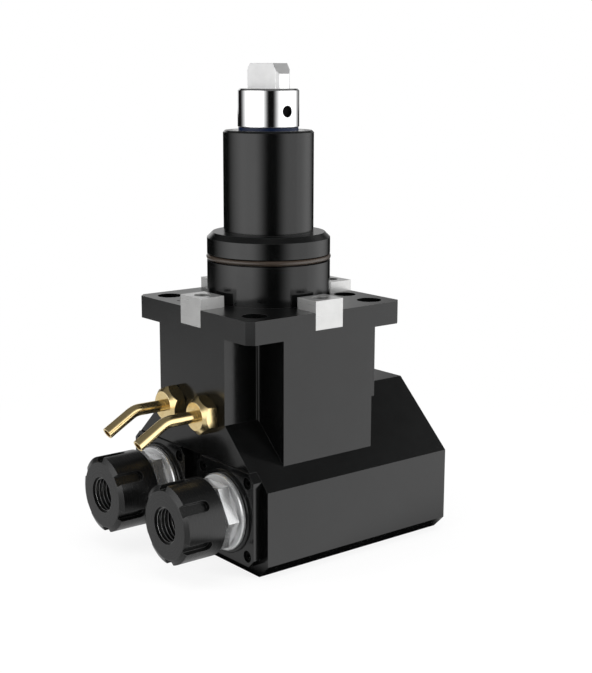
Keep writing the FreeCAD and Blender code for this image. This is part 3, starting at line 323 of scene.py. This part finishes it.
def shank(form, mesh):
    """Add the shank under the head, and close its end with a bevel."""
    size = form.sizes
    bevel = size["Thread depth"]
    length = form.math("SUBTRACT", size["Shank length"], bevel)
    rings = form.math("MULTIPLY", form.math("DIVIDE", length, size["Pitch"]), RINGS_PER_TURN)
    tube = form.add("GeometryNodeMeshCylinder", [("fill_type", "NONE")], Vertices=SCREW_SIDES,
                    Side_Segments=form.math("CEIL", rings), Radius=size["Shank radius"],
                    Depth=length)
    middle = form.math("ADD", size["Head height"], form.math("DIVIDE", length, 2.0))
    lower = form.add("GeometryNodeTransform", Geometry=tube.outputs["Mesh"],
                     Translation=form.joined(0.0, 0.0, form.product(middle, -1.0)))
    mesh = form.merged(mesh, lower.outputs[0])
    end = form.product(form.open_rim("LESS_THAN", size["Head radius"]),
                       form.math("LESS_THAN", form.height, form.product(middle, -1.0)))
    tip = form.math("DIVIDE", form.math("SUBTRACT", size["Shank radius"], bevel),
                    size["Shank radius"])
    mesh, rim = form.pull(mesh, end, bevel, tip)
    mesh, _ = form.pull(mesh, rim, None, 0.0)
    return form.merged(mesh)


print("each turn of the thread gets", RINGS_PER_TURN, "rings")

# %% [markdown]
# ## Knurl and thread
# Both are moves of finished points, in and out. The knurl pushes every second point of the
# head's wall in, like a saw of teeth. The thread is a wave that climbs one pitch while it turns
# once. A thread cut by a swept profile would be sharper, but at this size nobody sees that, and
# the wave stays one closed mesh.

# %% Knurl and thread
def knurl(form, mesh):
    """Push every second point of the head's wall in."""
    size = form.sizes
    step = form.math("ROUND", form.product(form.turns, SCREW_SIDES))
    odd = form.math("ABSOLUTE", form.math("MODULO", step, 2.0))
    wall = form.math("GREATER_THAN", form.radius, form.product(size["Head radius"], 0.99))
    share = form.math("DIVIDE", size["Knurl depth"], size["Head radius"])
    return form.shaped(mesh, form.product(odd, wall), form.math("SUBTRACT", 1.0, share))


def thread(form, mesh):
    """Cut a wave into the shank that climbs one pitch in a turn, and fades at both ends."""
    size = form.sizes
    climb = form.math("DIVIDE", form.height, size["Pitch"])
    phase = form.math("FRACT", form.math("ADD", climb, form.turns))
    wave = form.product(form.math("PINGPONG", phase, 0.5), 2.0)
    under = form.product(form.math("ADD", form.height, size["Head height"]), -1.0)
    start = form.spread(under, 0.0, 1.0, 0.0, size["Pitch"])
    end = form.math("SUBTRACT", size["Shank length"], size["Thread depth"])
    fade = form.spread(form.math("SUBTRACT", end, under), 0.0, 1.0, 0.0, size["Pitch"])
    share = form.product(wave, start, fade, form.math("DIVIDE", size["Thread depth"],
                                                      size["Shank radius"]))
    stem = form.math("LESS_THAN", form.radius, form.product(size["Shank radius"], 1.01))
    below = form.math("GREATER_THAN", under, 0.001 * MM)
    return form.shaped(mesh, form.product(stem, below), form.math("SUBTRACT", 1.0, share))


print("moves of the points ready:", knurl.__name__, "and", thread.__name__)

# %% [markdown]
# ## The whole tree
# The tree sets the screw on every point that it is given, turns it to face outwards and spins
# it by chance. The copies are made real at the end, because an exported model has no copies,
# and they get their finish there.

# %% The tree of the screws
def screw_tree():
    """Tree that sets one screw on every point, each turned a little differently."""
    form = Turned("socket_screws", SCREW_SIZES)
    screw = thread(form, knurl(form, shank(form, head(form))))
    facing = form.add("FunctionNodeEulerToRotation", i0=form.sizes["Facing"]).outputs[0]
    placed = form.add("GeometryNodeInstanceOnPoints", Points=form.sizes["Geometry"],
                      Instance=screw, Rotation=facing).outputs[0]
    chance = form.add("FunctionNodeRandomValue", [("data_type", "FLOAT")],
                      Seed=form.sizes["Seed"])
    angle = form.product(chance.outputs[1], math.tau / 6)
    spin = form.add("FunctionNodeEulerToRotation", i0=form.joined(0.0, 0.0, angle)).outputs[0]
    spun = form.add("GeometryNodeRotateInstances", Instances=placed, Rotation=spin)
    real = form.add("GeometryNodeRealizeInstances", Geometry=spun.outputs[0]).outputs[0]
    dressed = form.add("GeometryNodeSetMaterial", Geometry=real,
                       Material=form.sizes["Finish"]).outputs[0]
    form.add("NodeGroupOutput", i0=dressed)
    return form.tree


screws = screw_tree()
print(screws.name, "has", len(screws.nodes), "nodes")

# %% [markdown]
# ## How the finishes are written
# What is the same all over a surface is set on the shader's own socket, and only what varies is
# wired. Patterns read Object coordinates, which are the object's own metres, so a scale of 1000
# means one repeat for each millimetre. Turned pieces get rings: the pattern reads how far out
# and how far along a point is from the lathe's axis.

# %% Helper for finishes
ACROSS_FROM_TO = (0.8, 0.95)
EDGE_FROM_TO = (0.86, 0.995)


class Finish(Graph):
    """A material under construction: a principled shader and the nodes that feed it."""

    def __init__(self, name, colour, metallic, roughness, **inputs):
        self.material = bpy.data.materials.new(name)
        self.material.use_nodes = True
        super().__init__(self.material.node_tree)
        self.shader = self.tree.nodes["Principled BSDF"]
        self.set("Base Color", (*colour, 1))
        self.set("Metallic", metallic)
        self.set("Roughness", roughness)
        for socket, value in inputs.items():
            self.set(socket.replace("_", " "), value)
        self.place = self.add("ShaderNodeTexCoord").outputs["Object"]
        self.normal = None

    def set(self, socket, value):
        """Set an input of the shader, or wire it when value is a socket."""
        self.fill(self.shader, socket, value)

    def stretched(self, scale):
        """Object coordinates times a scale along each axis."""
        return self.vector("MULTIPLY", self.place, scale)

    def rings(self, pitch, centre=(0, 0, 0), upright=False):
        """How far out and along a point is from a lathe's axis, in steps of the tool.

        The axis runs along Y through the centre, on either side of the middle, or upright.
        """
        x, y, z = self.split(self.place)
        side = self.math("SUBTRACT", self.math("ABSOLUTE", x), centre[0])
        level = self.math("SUBTRACT", z, centre[2])
        out = self.length(x, y) if upright else self.length(side, level)
        along = z if upright else y
        return self.joined(*(self.product(part, 1 / pitch) for part in (out, along)), 0.0)

    def noise(self, scale, detail=3.0, where=None):
        """Soft random values from 0 to 1."""
        return self.add("ShaderNodeTexNoise", Vector=where or self.place, Scale=scale,
                        Detail=detail, Roughness=0.55).outputs["Fac"]

    def blend(self, share, first, second):
        """Colour between first and second."""
        node = self.add("ShaderNodeMix", [("data_type", "RGBA")], i0=share)
        for place, colour in ((6, first), (7, second)):
            self.fill(node, place, colour if isinstance(colour, bpy.types.NodeSocket)
                      else (*colour, 1))
        return node.outputs[2]

    def soft_edges(self, radius):
        """Round every edge in the light, and return how near an edge a point is, 0 to 1."""
        bevel = self.add("ShaderNodeBevel", [("samples", 4)], Radius=radius)
        self.normal = bevel.outputs[0]
        true = self.add("ShaderNodeNewGeometry").outputs["Normal"]
        dot = self.add("ShaderNodeVectorMath", [("operation", "DOT_PRODUCT")],
                       i0=self.normal, i1=true)
        return self.spread(dot.outputs["Value"], 1, 0, *EDGE_FROM_TO)

    def across(self, axis, value, others):
        """The value on faces that lie across an axis, others on the rest."""
        normal = self.split(self.add("ShaderNodeNewGeometry").outputs["Normal"])[axis]
        share = self.spread(self.math("ABSOLUTE", normal), 0, 1, *ACROSS_FROM_TO)
        return self.add("ShaderNodeMix", i0=share, i2=others, i3=value).outputs[0]

    def relief(self, height, depth, strength=1.0):
        """Add a fine relief of that depth in metres to the normal."""
        bump = self.add("ShaderNodeBump", Height=height, Distance=depth, Strength=strength)
        if self.normal:
            self.fill(bump, "Normal", self.normal)
        self.normal = bump.outputs[0]

    def done(self):
        """Wire the finished normal and return the material."""
        if self.normal:
            self.set("Normal", self.normal)
        return self.material


finishes = set()


def dress(finish, *names):
    """Give a finish to CAD nodes through their material slots."""
    finishes.add(finish.name)
    for name in names:
        if not nodes[name].material_slots:
            nodes[name].data.materials.append(finish)
        for slot in nodes[name].material_slots:
            slot.material = finish
    print(finish.name, "on", len(names), "nodes")


print("helper ready:", Finish.__name__)

# %% [markdown]
# ## Black oxide on ground steel
# The block is milled and ground, then blackened in a hot salt bath. The bath leaves a thin dark
# glassy skin, so faces mirror the studio softly. A plain dark colour would look like plastic.
# Three things make it steel: faint lines left by the cutter, a skin that varies a little in
# gloss, and edges that the shader rounds so they catch light, with a lighter colour along them
# as a painted highlight. Level faces, such as the top of the flange, are duller than the upright
# ones.

# %% Black oxide on milled faces
def milled_black(name, colour, edge_highlight_colour, gloss, level_gloss, line_pitch, gleam):
    """Blackened steel with cutter lines, cloudy gloss and a painted highlight along its edges.

    The gloss is the lowest and highest roughness, and level_gloss that of level faces.
    """
    finish = Finish(name, colour, 0.0, gloss[0], Specular_IOR_Level=gleam)
    edge = finish.soft_edges(0.15 * MM)
    cloud = finish.noise(90, 4)
    tint = finish.blend(finish.spread(cloud, 0, 1), colour, [c * 1.7 for c in colour])
    # Painted highlight: the edge colour makes every edge lighter than the face.
    finish.set("Base Color", finish.blend(edge, tint, edge_highlight_colour))
    rough = finish.spread(finish.noise(260, 5), *gloss)
    finish.set("Roughness", finish.across(2, level_gloss, rough))
    marks = finish.noise(1, 2, finish.stretched((30, 30, 1 / line_pitch)))
    finish.relief(marks, 0.0012 * MM, 0.3)
    finish.relief(finish.noise(2600, 2), 0.0006 * MM, 0.3)
    return finish.done()


block_black = milled_black("block_black", (0.0018, 0.0019, 0.0019), (0.035, 0.036, 0.036),
                           (0.12, 0.17), 0.30, 0.3 * MM, 0.42)
dress(block_black, "housing", "rear_cover", "front_cover_right", "front_cover_left")

# %% [markdown]
# ## The collet nuts
# The two nuts are turned and then blackened, so their marks are rings about the spindle, finer
# and softer than the cutter lines of the block. They come out of the bath a shade lighter than
# the block. No spanner has worn them yet; their edges get a lighter colour as a painted
# highlight.

# %% Black oxide on turned faces
SPINDLE_AXIS = tuple((low + high) / 2 for low, high in zip(*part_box("collet_nut_right")))


def turned_black(name, colour, edge_highlight_colour, gloss, pitch, gleam):
    """Blackened steel with rings of the tool, a pitch apart, about a spindle's axis."""
    finish = Finish(name, colour, 0.0, gloss[0], Specular_IOR_Level=gleam)
    edge = finish.soft_edges(0.3 * MM)
    # Painted highlight: a lighter colour along every edge.
    finish.set("Base Color", finish.blend(edge, colour, edge_highlight_colour))
    rings = finish.noise(1, 3, finish.rings(pitch, SPINDLE_AXIS))
    finish.set("Roughness", finish.spread(rings, *gloss))
    finish.relief(rings, 0.0004 * MM, 0.25)
    return finish.done()


nut_black = turned_black("nut_black", (0.0045, 0.0046, 0.0046), (0.06, 0.06, 0.06),
                         (0.25, 0.28), 0.12 * MM, 0.42)
dress(nut_black, "collet_nut_right", "collet_nut_left")
print("spindle axis at", [round(v / MM, 2) for v in SPINDLE_AXIS])

# %% [markdown]
# ## The screws in place
# Each kind of screw runs the tree once, with its own sizes, and the result is kept as a plain
# mesh that stands for the CAD node. The head's face and the length come from the CAD solids,
# the socket and the pitch from the thread's size. A seed turns each socket its own way, as
# screws that somebody has tightened are. They sit sunk in their holes, so their colour is painted
# nearly black as painted shade, and their finish is nearly matt.

# %% Set the screws
def grow_screws(name, facing, outward, finish, seed, **sizes):
    """Run the screw tree on the solids of a CAD node and put the result in its place."""
    boxes = solid_boxes(name)
    axis = max(range(3), key=lambda i: abs(outward[i]))
    spots = []
    for low, high in boxes:
        spot = (low + high) / 2
        spot[axis] = high[axis] if outward[axis] > 0 else low[axis]
        spots.append(spot)
    reach = (boxes[0][1] - boxes[0][0])[axis]
    sizes["Shank length"] = reach - sizes["Head height"]
    base = bpy.data.meshes.new(name + "_spots")
    base.from_pydata(spots, [], [])
    maker = bpy.data.objects.new(name + "_maker", base)
    bpy.context.scene.collection.objects.link(maker)
    modifier = maker.modifiers.new("screws", "NODES")
    modifier.node_group = screws
    given = {**sizes, "Facing": facing, "Seed": seed, "Finish": finish}
    for socket in screws.interface.items_tree:
        if socket.in_out == "INPUT" and socket.name in given:
            modifier[socket.identifier] = given[socket.name]
    mesh = bpy.data.meshes.new_from_object(
        maker.evaluated_get(bpy.context.evaluated_depsgraph_get()))
    bpy.data.objects.remove(maker)
    mesh.shade_smooth()
    mesh.set_sharp_from_angle(angle=math.radians(28))
    piece = bpy.data.objects.new(name + "_detailed", mesh)
    bpy.context.scene.collection.objects.link(piece)
    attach(piece, "holder")
    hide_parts(name)
    print(piece.name, len(spots), "screws,", len(mesh.polygons), "faces")
    return piece


# Painted shade: a near-black, nearly matt finish stands for the shade of the screws' holes.
screw_black = milled_black("screw_black", (0.001, 0.001, 0.001), (0.02, 0.02, 0.02),
                           (0.34, 0.46), 0.6, 0.15 * MM, 0.02)
M4 = {"Head radius": 3.5 * MM, "Head height": 4 * MM, "Socket radius": 1.73 * MM,
      "Socket depth": 2 * MM, "Shank radius": 2 * MM, "Pitch": 0.7 * MM,
      "Thread depth": 0.35 * MM}
M3 = {"Head radius": 2.5 * MM, "Head height": 3 * MM, "Rim bevel": 0.25 * MM,
      "Socket radius": 1.15 * MM, "Socket depth": 1.4 * MM, "Shank radius": 1.5 * MM,
      "Pitch": 0.5 * MM, "Thread depth": 0.25 * MM, "Knurl depth": 0.06 * MM}
grow_screws("key_screws", (0, 0, 0), (0, 0, 1), screw_black, 3, **M4)
grow_screws("front_cover_screws", (math.pi / 2, 0, 0), (0, -1, 0), screw_black, 5, **M3)
grow_screws("rear_cover_screws", (-math.pi / 2, 0, 0), (0, 1, 0), screw_black, 8, **M4)

# %% [markdown]
# ## Ground, polished and turned steel
# The four keys are surface ground, which leaves fine parallel scratches and a soft grey sheen.
# The collar and the spindle noses are turned and polished, so they mirror the room with only a
# trace of rings, but the noses are duller where the lathe has faced them. All are bare metal:
# the colour is the metal's own and it shows in the reflections, except along the edges, where a
# lighter colour is a painted highlight. What differs is how rough the surface is and which way
# its scratches run.

# %% Bare steels
def bare_steel(name, colour, gloss, where, depth, edge_highlight_colour, metallic=1.0, facing=None):
    """Bare steel whose scratches follow the pattern that where gives for a finish, with a painted
    highlight along its edges.

    With a facing, the faces across the Y axis have that roughness.
    """
    finish = Finish(name, colour, metallic, gloss[0])
    edge = finish.soft_edges(0.25 * MM)
    lines = finish.noise(1, 3, where(finish))
    cloud = finish.noise(160, 3)
    tint = finish.blend(finish.spread(cloud, 0, 1), colour, [c * 0.92 for c in colour])
    # Painted highlight: the edge colour makes every edge lighter than the metal.
    finish.set("Base Color", finish.blend(edge, tint, edge_highlight_colour))
    rough = finish.spread(lines, *gloss)
    finish.set("Roughness", finish.across(1, facing, rough) if facing else rough)
    finish.relief(lines, depth, 0.35)
    return finish.done()


def scratches(x, y, z):
    """Pattern of straight scratches, long where the scale is small."""
    return lambda finish: finish.stretched((x, y, z))


def lathe_rings(pitch, upright=False):
    """Pattern of rings about the spindles, or about the upright shaft."""
    return lambda finish: finish.rings(pitch, SPINDLE_AXIS, upright)


ground_steel = bare_steel("ground_steel", (0.50, 0.50, 0.495), (0.27, 0.35),
                          scratches(60, 60, 4000), 0.0007 * MM, (0.80, 0.80, 0.79), 0.8)
dress(ground_steel, "locating_keys")
tang_steel = bare_steel("tang_steel", (0.94, 0.94, 0.94), (0.44, 0.54),
                        scratches(40, 40, 3000), 0.0005 * MM, (0.98, 0.98, 0.98))
dress(tang_steel, "drive_tang")
collar_chrome = bare_steel("collar_chrome", (0.88, 0.885, 0.89), (0.06, 0.10),
                           lathe_rings(0.3 * MM, True), 0.0003 * MM, (0.95, 0.95, 0.95))
dress(collar_chrome, "drive_collar")
nose_steel = bare_steel("nose_steel", (0.80, 0.805, 0.81), (0.20, 0.24),
                        lathe_rings(0.15 * MM), 0.0001 * MM, (0.97, 0.97, 0.97), 0.85, 0.55)
dress(nose_steel, "spindle_right", "spindle_left")

# %% [markdown]
# ## Inside the collets and the case
# A collet is hardened spring steel. Its mouth lies in shade, so its colour is painted nearly
# black as painted shade, and the ridges of its grooves get a painted highlight. Gears, shafts and
# bearings are never seen in the picture, but the model can be opened, so they get ground teeth,
# turned journals and polished races.

# %% Collets, gears, shafts and races
# Painted shade and highlight: a near-black colour for the shade in the mouth, a light edge colour
# on the ridges.
collet_steel = bare_steel("collet_steel", (0.12, 0.12, 0.12), (0.24, 0.32),
                          lathe_rings(0.2 * MM), 0.0005 * MM, (0.80, 0.80, 0.79))
dress(collet_steel, "collet_right", "collet_left")
race_steel = bare_steel("race_steel", (0.70, 0.71, 0.72), (0.12, 0.2),
                        scratches(600, 600, 600), 0.001 * MM, (0.85, 0.85, 0.86))
dress(race_steel, *(n for n in nodes if "race" in n))
gear_steel = bare_steel("gear_steel", (0.50, 0.50, 0.48), (0.28, 0.40),
                        lathe_rings(0.25 * MM), 0.002 * MM, (0.7, 0.7, 0.68))
dress(gear_steel, "idler_bevel_gear", "idler_spur_gear", "spindle_gear_right",
      "spindle_gear_left")
shaft_steel = bare_steel("shaft_steel", (0.56, 0.56, 0.55), (0.22, 0.32),
                         scratches(900, 900, 900), 0.002 * MM, (0.75, 0.75, 0.74))
dress(shaft_steel, "input_shaft", "idler_shaft", "neck_retaining_ring",
      *(n for n in nodes if n.startswith("gear_lock_nut")
        or n.endswith(("_sleeve", "_sleeve_right", "_sleeve_left"))))

# %% [markdown]
# ## Brass of the coolant nozzles
# The nozzle bodies are turned from hexagon bar and left bright, and the bent tubes are drawn,
# so they are smoother. Brass takes its colour in its reflections, which is why the colour goes
# into a metallic shader and not into a yellow paint. Handling darkens it in clouds, a little
# redder than the clean metal.

# %% Brass
def bright_brass(name, gloss, tarnish, turned):
    """Bright brass with clouds of tarnish. A turned piece has tool marks too, and a paler colour
    along its edges as a painted highlight.
    """
    clean = (1.0, 0.79, 0.41)
    tarnished = (0.84, 0.56, 0.22)
    finish = Finish(name, clean, 1.0, gloss[0])
    cloud = finish.spread(finish.noise(240, 4), 0, tarnish, 0.48, 0.78)
    tint = finish.blend(cloud, clean, tarnished)
    if turned:
        # Painted highlight: turned pieces get a paler colour along their edges.
        tint = finish.blend(finish.soft_edges(0.2 * MM), tint, (1.0, 0.90, 0.62))
        finish.relief(finish.noise(1, 2, finish.stretched((300, 3800, 300))), 0.0006 * MM, 0.3)
    finish.set("Base Color", tint)
    finish.set("Roughness", finish.spread(finish.noise(160, 3), *gloss))
    return finish.done()


dress(bright_brass("body_brass", (0.22, 0.28), 0.4, True), "nozzle_body_right",
      "nozzle_body_left", "rear_gallery_plug", "side_gallery_plug")
dress(bright_brass("tube_brass", (0.20, 0.24), 0.25, False), "nozzle_tube_right",
      "nozzle_tube_left")

# %% [markdown]
# ## Rubber rings
# The seal in the pilot's groove is a brown fluoro rubber ring, and the ring at the neck is dark
# blue. Moulded rubber is matt, faintly mottled and never quite smooth, with a soft sheen where
# light grazes it. The pin deep in the collar is in shade, so its colour is painted nearly black
# as painted shade.

# %% Rubbers and the pin
def moulded_rubber(name, colour, roughness, gleam=0.3):
    """Rubber with a fine moulded skin, matt or a little oily."""
    finish = Finish(name, colour, 0.0, roughness, Specular_IOR_Level=gleam)
    mottle = finish.spread(finish.noise(900, 4), 0, 1)
    finish.set("Base Color", finish.blend(mottle, colour, [c * 1.4 for c in colour]))
    finish.relief(finish.noise(3200, 3), 0.006 * MM, 0.5)
    return finish.done()


dress(moulded_rubber("ring_brown", (0.026, 0.019, 0.014), 0.3, 0.55), "pilot_o_ring")
dress(moulded_rubber("seal_blue", (0.001, 0.006, 0.024), 0.4), "neck_seal")
dress(moulded_rubber("seal_black", (0.02, 0.02, 0.02), 0.55), "spindle_seal_right",
      "spindle_seal_left")
# Painted shade: the pin's near-black colour stands for the shade deep in the collar.
dress(milled_black("pin_black", (0.0008, 0.0008, 0.0008), (0.01, 0.01, 0.01), (0.5, 0.6), 0.5,
                   0.15 * MM, 0.05), "collar_pin")
replaced = ("key_screws", "front_cover_screws", "rear_cover_screws")
undressed = [n for n, o in nodes.items() if n not in replaced and (
    not o.material_slots or o.material_slots[0].material.name not in finishes)]
print("nodes without a finish of their own:", undressed)

# %% [markdown]
# ## A room painted by direction
# The photograph shows the holder on plain white, with light panels at both sides, a paler one
# low behind it, and nothing bright behind the lens or high above. Blackened and polished steel
# show that room more than their own colour: each upright face is a mirror for one side of it,
# and each cylinder shows all of it as bands. Lamps could stand for the panels, but a lamp has
# hard edges and the bands of the photograph are soft. So the room is painted by direction, as
# two soft steps for each panel, and the angle is counted from the lens to its right.

# %% Painting by direction
LIGHT_PATH_KINDS = ("Is Camera Ray", "Is Transmission Ray")
LENS_AZIMUTH = CAMERA_TURN - math.pi / 2
AHEAD = (math.cos(LENS_AZIMUTH), math.sin(LENS_AZIMUTH))


def degrees(*values):
    """Angles in radians."""
    return tuple(math.radians(v) for v in values)


LEFT_RISE = degrees(3, -36)
LEFT_FALL = degrees(-127, -63)
RIGHT_RISE = degrees(18, 54)
RIGHT_FALL = degrees(105, 156)
LEFT_LEVEL = 2.3
RIGHT_LEVEL = 1.65


class Studio(Graph):
    """Nodes that paint the brightness of the room by direction."""

    def step(self, value, start, end, low=0.0, high=1.0):
        """Soft step from low to high while value goes from start to end."""
        return self.spread(value, low, high, start, end, "SMOOTHSTEP")

    def seen_by_lens(self):
        """1 for rays from the lens or through glass, 0 for others."""
        path = self.add("ShaderNodeLightPath")
        return self.math("MAXIMUM", *(path.outputs[kind] for kind in LIGHT_PATH_KINDS))

    def mirrored(self):
        """1 for rays that a glossy surface sends."""
        return self.add("ShaderNodeLightPath").outputs["Is Glossy Ray"]

    def sides(self, place):
        """How far a direction points to the lens, and how far to its right."""
        x, y, _ = self.split(place)
        towards = self.math("ADD", self.product(x, AHEAD[0]), self.product(y, AHEAD[1]))
        right = self.math("SUBTRACT", self.product(y, AHEAD[0]), self.product(x, AHEAD[1]))
        return towards, right

    def panels(self, place):
        """Brightness of both panels where a direction points, and the left one's rise alone."""
        towards, right = self.sides(place)
        angle = self.math("ARCTAN2", right, towards)
        left_rise = self.step(angle, *LEFT_RISE, 0, LEFT_LEVEL)
        left_panel = self.product(left_rise, self.step(angle, *LEFT_FALL))
        right_panel = self.product(self.step(angle, *RIGHT_RISE, 0, RIGHT_LEVEL),
                                   self.step(angle, *RIGHT_FALL, 1, 0))
        return left_panel, right_panel, left_rise

    def choose(self, share, first, second):
        """First where share is 0, second where it is 1."""
        return self.add("ShaderNodeMix", i0=share, i2=first, i3=second).outputs[0]


print("lens seen from the holder at", round(math.degrees(LENS_AZIMUTH), 1), "degrees")

# %% [markdown]
# ## The walls
# The walls are a world whose brightness depends on who looks. To the lens it is white, to a
# mirroring surface it shows the panels, and matt surfaces get an even pale light from it. The
# side panels fade out upwards, and the one behind the holder, which the flange's top mirrors,
# fades to the right too.

# %% The room
ROOM_LIGHT = 0.55
ROOM_DARK = 0.005
CEILING = 0.13
LEFT_TOP = (0.25, 0.6)
RIGHT_TOP = (0.3, 0.75)
BACK_LEVEL = (0.85, 0.22)
BACK_FADE = (0.02, 0.09)
BACK_SIDE = (-0.80, -0.93)
BACK_TOP = (0.30, 0.45)
CEILING_RISE = (0.4, 0.7)


def add_room():
    """World that is white to the lens, bright at both sides and dark above in a mirror."""
    world = bpy.data.worlds.new("studio_room")
    bpy.context.scene.world = world
    world.use_nodes = True
    studio = Studio(world.node_tree)
    direction = studio.add("ShaderNodeTexCoord").outputs["Generated"]
    left, right, _ = studio.panels(direction)
    towards, sideways = studio.sides(direction)
    height = studio.split(direction)[2]
    left = studio.product(left, studio.step(height, *LEFT_TOP, 1, 0))
    right = studio.product(right, studio.step(height, *RIGHT_TOP, 1, 0))
    back = studio.product(studio.step(sideways, *BACK_FADE, *BACK_LEVEL),
                          studio.step(towards, *BACK_SIDE),
                          studio.step(height, *BACK_TOP, 1, 0))
    panels = studio.math("ADD", studio.math("ADD", left, right), back)
    panels = studio.math("ADD", panels, studio.step(height, *CEILING_RISE, 0, CEILING))
    mirror = studio.math("ADD", panels, ROOM_DARK)
    level = studio.choose(studio.mirrored(), ROOM_LIGHT, mirror)
    light = world.node_tree.nodes["Background"]
    light.inputs["Color"].default_value = (1, 1, 1, 1)
    studio.fill(light, "Strength", studio.choose(studio.seen_by_lens(), level, 1.0))


add_room()
print("room painted")

# %% [markdown]
# ## The floor
# The lens looks down a little, so every upright face of the holder mirrors the floor and not
# the walls. The floor therefore carries the same panels. They are counted from the corner of
# the case that is nearest to the lens, so the two sides of the case show one panel each, and
# the left one is dimmer close by. Under the case the floor is dark, as it is in its own shade.
# To the lens the floor is white, and paper with a soft shadow near the holder.

# %% The floor
FLOOR_HALF = 6.0
SHADOW_REACH = (0.10, 0.30)
SHADOW_SHARE = 0.86
LEFT_NEAR = (0.33, 0.80)
LEFT_NEAR_SHARE = 0.27
UNDER_REACH = (-2 * MM, 12 * MM)


def under_share(studio, place):
    """0 in the mirror image of the floor under the case, 1 a little way out."""
    low, high = (Vector(corner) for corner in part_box("housing"))
    middle = (low + high) / 2
    half = (high - low) / 2
    x, y, _ = studio.split(place)
    gaps = [studio.math("SUBTRACT", studio.math("ABSOLUTE", studio.math(
        "SUBTRACT", part, middle[i])), half[i]) for i, part in enumerate((x, y))]
    return studio.step(studio.math("MAXIMUM", *gaps), *UNDER_REACH)


def add_floor():
    """Wide pale floor under the lowest point, which keeps a soft shadow near the object."""
    low = cad_box[0][2]
    mesh = bpy.data.meshes.new("studio_floor")
    corners = [(x * FLOOR_HALF, y * FLOOR_HALF, low) for x, y in
               ((-1, -1), (1, -1), (1, 1), (-1, 1))]
    mesh.from_pydata(corners, [], [(0, 1, 2, 3)])
    floor = bpy.data.objects.new("studio_floor", mesh)
    bpy.context.scene.collection.objects.link(floor)
    material = bpy.data.materials.new("floor_paper")
    material.use_nodes = True
    tree = material.node_tree
    studio = Studio(tree)
    paper = tree.nodes["Principled BSDF"]
    paper.inputs["Base Color"].default_value = (0.80, 0.80, 0.80, 1)
    paper.inputs["Roughness"].default_value = 0.9
    paper.inputs["Specular IOR Level"].default_value = 0.1
    place = studio.add("ShaderNodeTexCoord").outputs["Object"]
    low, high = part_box("housing")
    left, right, left_rise = studio.panels(
        studio.vector("SUBTRACT", place, (high[0], low[1], 0)))
    x, y, _ = studio.split(place)
    distance = studio.length(x, y)
    far = studio.step(distance, *SHADOW_REACH, SHADOW_SHARE, 1)
    near = studio.product(left_rise, LEFT_NEAR_SHARE)
    left = studio.choose(studio.step(distance, *LEFT_NEAR), near, left)
    lit = studio.product(studio.math("ADD", left, right), under_share(studio, place))
    mirror = studio.math("ADD", lit, ROOM_DARK)
    glow = studio.add("ShaderNodeEmission",
                      Strength=studio.choose(studio.seen_by_lens(), mirror, 1.0))
    share = studio.math("MAXIMUM", studio.mirrored(), studio.product(studio.seen_by_lens(), far))
    mix = studio.add("ShaderNodeMixShader", i0=share, i1=paper.outputs[0], i2=glow.outputs[0])
    tree.links.new(mix.outputs[0], tree.nodes["Material Output"].inputs["Surface"])
    mesh.materials.append(material)
    floor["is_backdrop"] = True
    return floor


floor = add_floor()
print("floor at", round(floor.data.vertices[0].co.z, 4))

# %% [markdown]
# ## The lamps
# Three large soft lamps at the left, at the right and above light what is matt: the rubber, the
# paper and the bevels. No mirror shows them, since the painted room does that better.

# %% Lamps
LAMP_TARGET = Vector((0, 0, -20)) * MM


def add_softbox(name, place, width, height, power):
    """Rectangular soft lamp that looks at the holder and isn't mirrored in it."""
    data = bpy.data.lights.new(name, "AREA")
    data.shape = "RECTANGLE"
    data.size = width
    data.size_y = height
    data.energy = power
    lamp = bpy.data.objects.new(name, data)
    bpy.context.scene.collection.objects.link(lamp)
    turn = (LAMP_TARGET - Vector(place)).to_track_quat("-Z", "Y")
    lamp.matrix_world = Matrix.Translation(place) @ turn.to_matrix().to_4x4()
    lamp.visible_glossy = False
    return lamp


add_softbox("left_softbox", (-0.55, -0.75, 0.45), 0.35, 0.9, 8)
add_softbox("right_softbox", (0.85, 0.35, 0.35), 0.30, 0.9, 9)
add_softbox("top_softbox", (0.1, -0.1, 0.95), 0.7, 0.7, 6)

# %% Finish
view = bpy.context.scene.view_settings
view.view_transform = "Standard"
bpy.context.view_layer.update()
for label, box in (("CAD", cad_box), ("dressed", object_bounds())):
    print(label, "box from", *([round(c / MM, 2) for c in corner] for corner in box), "mm")
